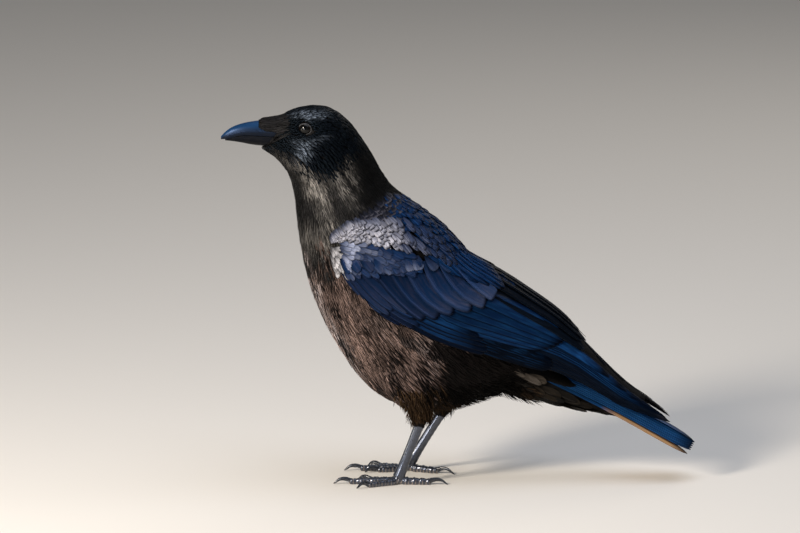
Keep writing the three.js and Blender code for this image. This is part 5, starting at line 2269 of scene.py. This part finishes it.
@dataclass
class Leg:
    """A bare leg: the scaled shank, four toes and their claws."""

    side: int
    foot: Pair
    ankle: Triple
    turns: dict[str, float]  # each toe's heading from straight ahead, degrees outwards
    foot_height: float = 6.2
    shank_depth: tuple[float, ...] = (5.2, 4.3, 4.0, 4.05, 4.4, 5.0)
    shank_width: tuple[float, ...] = (4.4, 3.4, 3.1, 3.1, 3.4, 4.0)
    shank_rings: int = 100
    shank_sides: int = 28
    scutes: int = 12
    toe_rings: int = 84
    toe_sides: int = 20
    ring_mm: float = 3.0  # from one of a toe's scutes to the next
    press: float = 0.82  # how high a toe's middle line lies, as a share of its radius
    root_rise: float = 1.6
    pads: int = 4
    claw_rings: int = 22
    claw_sides: int = 14
    claw_rise: float = 3.2
    claw_radius: float = 2.1

    def build(self) -> None:
        """Makes the leg's pieces."""
        word = SIDES[self.side]
        self._plated(f"shank_{word}", self._shank(), SCUTE, f"tarsus_{word}", self.scutes)
        for toe in TOES:
            name, plates = f"{toe.name}_toe_{word}", toe.length / self.ring_mm
            self._plated(name, self._toe(toe), TOE_SCUTE, f"toe_{toe.name}_{word}", plates)
            claw = ringed_solid(self._claw(toe))
            claw = finish_mesh(f"{toe.name}_claw_{word}", claw, CLAW_HORN.material())
            settle(claw, "horn", f"claw_{toe.name}_{word}")

    def _plated(
        self, name: str, rings: np.ndarray, finish: HardFinish, node: str, plates: float
    ) -> None:
        """Finishes a scaled piece, with the grooves between its plates marked.

        Args:
            name: The piece's name.
            rings: Its rings.
            finish: Its finish.
            node: The node that it replaces.
            plates: How many plates lie along it.
        """
        bm = ringed_solid(rings)
        groove = bm.verts.layers.float.new("groove")
        tree = KDTree(len(rings))
        for i, middle in enumerate(rings.mean(1).tolist()):
            tree.insert(middle, i)
        tree.balance()
        # A joint is the outer quarter of the step from plate to plate.
        for vert in bm.verts:
            _, ring, _ = tree.find(vert.co)
            near = abs((ring / (len(rings) - 1) * plates) % 1 - 0.5)
            vert[groove] = min(0.8, max(0.0, (near - 0.38) / 0.12))
        settle(finish_mesh(name, bm, finish.material()), "scutes", node)

    def _shank(self) -> np.ndarray:
        """Works out the shank, with a row of overlapping plates down its front.

        Returns:
            Points by ring, side and axis.
        """
        t = np.linspace(0, 1, self.shank_rings)
        foot = np.array([*self.foot, self.foot_height])
        middles = foot + (np.array(self.ankle) - foot) * t[:, None]
        # Each plate stands 6% out, and slopes in to the one that it overlaps.
        step = 1 - np.mod(t * self.scutes, 1.0)
        plate = np.clip(step * 1.6, 0, 1) * 0.06
        front = np.clip(-np.sin(around(self.shank_sides)), 0, 1) ** 0.6
        grow = 1 + plate[:, None] * front - 0.02
        width, depth = smooth_rows(tuple(zip(self.shank_width, self.shank_depth)), t).T
        return tube_rings(
            middles, (0, 1, 0), width[:, None] * grow, depth[:, None] * grow,
            self.shank_sides,
        )

    def _along(self, toe: Toe, reach: np.ndarray) -> tuple[Places, np.ndarray]:
        """Finds places along a toe's heading.

        Args:
            toe: The toe.
            reach: How far each place is from the foot's middle.

        Returns:
            The places on the floor, and the level way across the toe.
        """
        angle = math.radians(self.turns[toe.name]) * self.side
        ahead = np.array([-math.cos(angle), math.sin(angle), 0.0])
        level = np.array([-ahead[1], ahead[0], 0.0])
        return np.array([*self.foot, 0.0]) + ahead * reach[:, None], level

    def _toe(self, toe: Toe) -> np.ndarray:
        """Works out a toe, with pads below and narrow scutes above.

        Args:
            toe: The toe.

        Returns:
            Points by ring, side and axis.
        """
        t = np.linspace(0, 1, self.toe_rings)
        taper = toe.radius * (1 - 0.22 * t)  # a toe narrows by a fifth
        middles, level = self._along(toe, toe.length * t)
        middles[:, 2] = taper * self.press + self.root_rise * np.clip(1 - t * 5, 0, None)
        swell = 1 + 0.10 * np.cos(t * self.pads * FULL_TURN)
        # Each scute stands out by a tenth of the radius, and its joints lie a little in.
        step = np.mod(t * toe.length / self.ring_mm, 1.0)
        ridge = 0.18 * np.clip(np.sin(step * math.pi), 0, 1) ** 0.7 - 0.07
        above = np.clip(np.sin(around(self.toe_sides)), 0, 1) ** 0.5
        size = taper[:, None] * (swell[:, None] + ridge[:, None] * above)
        # The last of the toe is rounded off.
        ends = np.sqrt(np.clip(1 - ((t - 0.93) / 0.07).clip(0, 1) ** 2, 0.05, 1))
        size = size * ends[:, None]
        rings = tube_rings(middles, level, size, size, self.toe_sides)
        # The tube's own up may point down, and then the scutes are turned to the top.
        if rings[2, self.toe_sides // 4, 2] < middles[2, 2]:
            size = np.roll(size[:, ::-1], 1, axis=1)
            rings = tube_rings(middles, level, size, size, self.toe_sides)
        rings[..., 2] = np.maximum(rings[..., 2], 0.0)
        return rings

    def _claw(self, toe: Toe) -> np.ndarray:
        """Works out a claw that arches over and down to the floor.

        Args:
            toe: The toe that it is on.

        Returns:
            Points by ring, side and axis.
        """
        high = toe.radius * 0.8
        rows = (
            (0, 0.3), (0.3, self.claw_rise * 0.55), (0.62, self.claw_rise * 0.45),
            (0.86, -high * 0.35), (1, -high + 0.5),
        )
        at = np.linspace(0, 1, self.claw_rings)
        share, lift = smooth_rows(rows, at).T
        middles, level = self._along(toe, toe.length - 1 + toe.claw * share)
        middles[:, 2] = high + lift
        radius = self.claw_radius * (1 - at) ** 0.8 + 0.2
        rings = tube_rings(middles, level, radius * 0.8, radius, self.claw_sides)
        rings[..., 2] = np.maximum(rings[..., 2], 0.0)
        return rings


# -------- studio
@dataclass(frozen=True)
class Softbox:
    """One soft square light that faces the bird."""

    name: str
    place: Triple
    size: float
    power: float
    tint: str


@dataclass
class Studio:
    """Camera, lights and a plain pale floor."""

    target: Triple = (-0.0507, 0.0, 0.1849)
    distance: float = 12.0
    elevation: float = 10.0
    lens: float = 627.9
    floor_mm: float = 6000.0
    air: tuple[str, float] = ("#e9edf4", 0.14)
    lights: tuple[Softbox, ...] = (
        Softbox("key_softbox", (-1.45, -1.45, 1.15), 0.5, 58.0, "#fff4e6"),
        Softbox("sky_softbox", (0.35, -0.15, 2.0), 2.0, 22.0, "#e3ecff"),
        Softbox("fill_softbox", (0.9, -2.4, 0.9), 1.8, 1.5, "#f2f4ff"),
        Softbox("low_softbox", (-1.2, -2.1, 0.5), 0.5, 14.0, "#f4f6ff"),
        Softbox("leg_glint", (-1.95, -0.68, 0.26), 0.28, 4.5, "#fffaf2"),
        Softbox("back_softbox", (0.8, 1.9, 1.5), 1.2, 6.0, "#fff8ee"),
    )

    def build(self) -> None:
        """Sets up the whole studio."""
        self._camera()
        bm = bmesh.new()
        bmesh.ops.create_grid(bm, x_segments=1, y_segments=1, size=self.floor_mm)
        # Matt warm white paper: it shows soft shadows and no gloss.
        look = {"Base Color": linear("#e6e1d8"), "Roughness": 0.9}
        paper, _ = new_material("backdrop_paper", look)
        finish_mesh("studio_floor", bm, paper, smooth=False)
        for light in self.lights:
            self._light(light)
        world = bpy.data.worlds.new("studio_air")
        world.use_nodes = True
        air = world.node_tree.nodes["Background"]
        air.inputs["Color"].default_value = linear(self.air[0])
        air.inputs["Strength"].default_value = self.air[1]
        bpy.context.scene.world = world
        bpy.context.scene.view_settings.view_transform = "Standard"

    def _camera(self) -> None:
        """Places the camera level with the bird's side, a little above."""
        data = bpy.data.cameras.new("side_camera")
        data.lens, data.sensor_width, data.clip_end = self.lens, 36.0, 50.0
        camera = linked("side_camera", data)
        turn = math.radians(self.elevation)
        away = Vector((0, -math.cos(turn), math.sin(turn))) * self.distance
        camera.location = Vector(self.target) + away
        camera.rotation_euler = (-away).to_track_quat("-Z", "Y").to_euler()
        bpy.context.scene.camera = camera

    def _light(self, softbox: Softbox) -> None:
        """Adds one light.

        Args:
            softbox: Its place, size, power and tint.
        """
        data = bpy.data.lights.new(softbox.name, "AREA")
        data.size, data.energy = softbox.size, softbox.power
        data.color = linear(softbox.tint)[:3]
        light = linked(softbox.name, data)
        light.location = softbox.place
        aim = Vector(self.target) - Vector(softbox.place)
        light.rotation_euler = aim.to_track_quat("-Z", "Y").to_euler()


LEGS = (
    Leg(
        LEFT, (-52, -30), (-30.3, -31.5, 62),
        {"inner": -24, "middle": -1, "outer": 31, "hind": 176},
    ),
    Leg(
        RIGHT, (-43, 30), (-9.5, 31.5, 60),
        {"inner": -12, "middle": 2, "outer": 31, "hind": 203},
    ),
)


def main() -> None:
    """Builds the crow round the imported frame."""
    logging.basicConfig(level=logging.INFO, format="%(message)s")
    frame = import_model()
    Studio().build()
    skin = Skin(frame["nodes"])
    skin.dress()
    for part in (BodyPlumage(skin), Wings(skin), Tail(skin), Bill(skin), Eyes(), *LEGS):
        part.build()


if __name__ == "__main__":
    main()
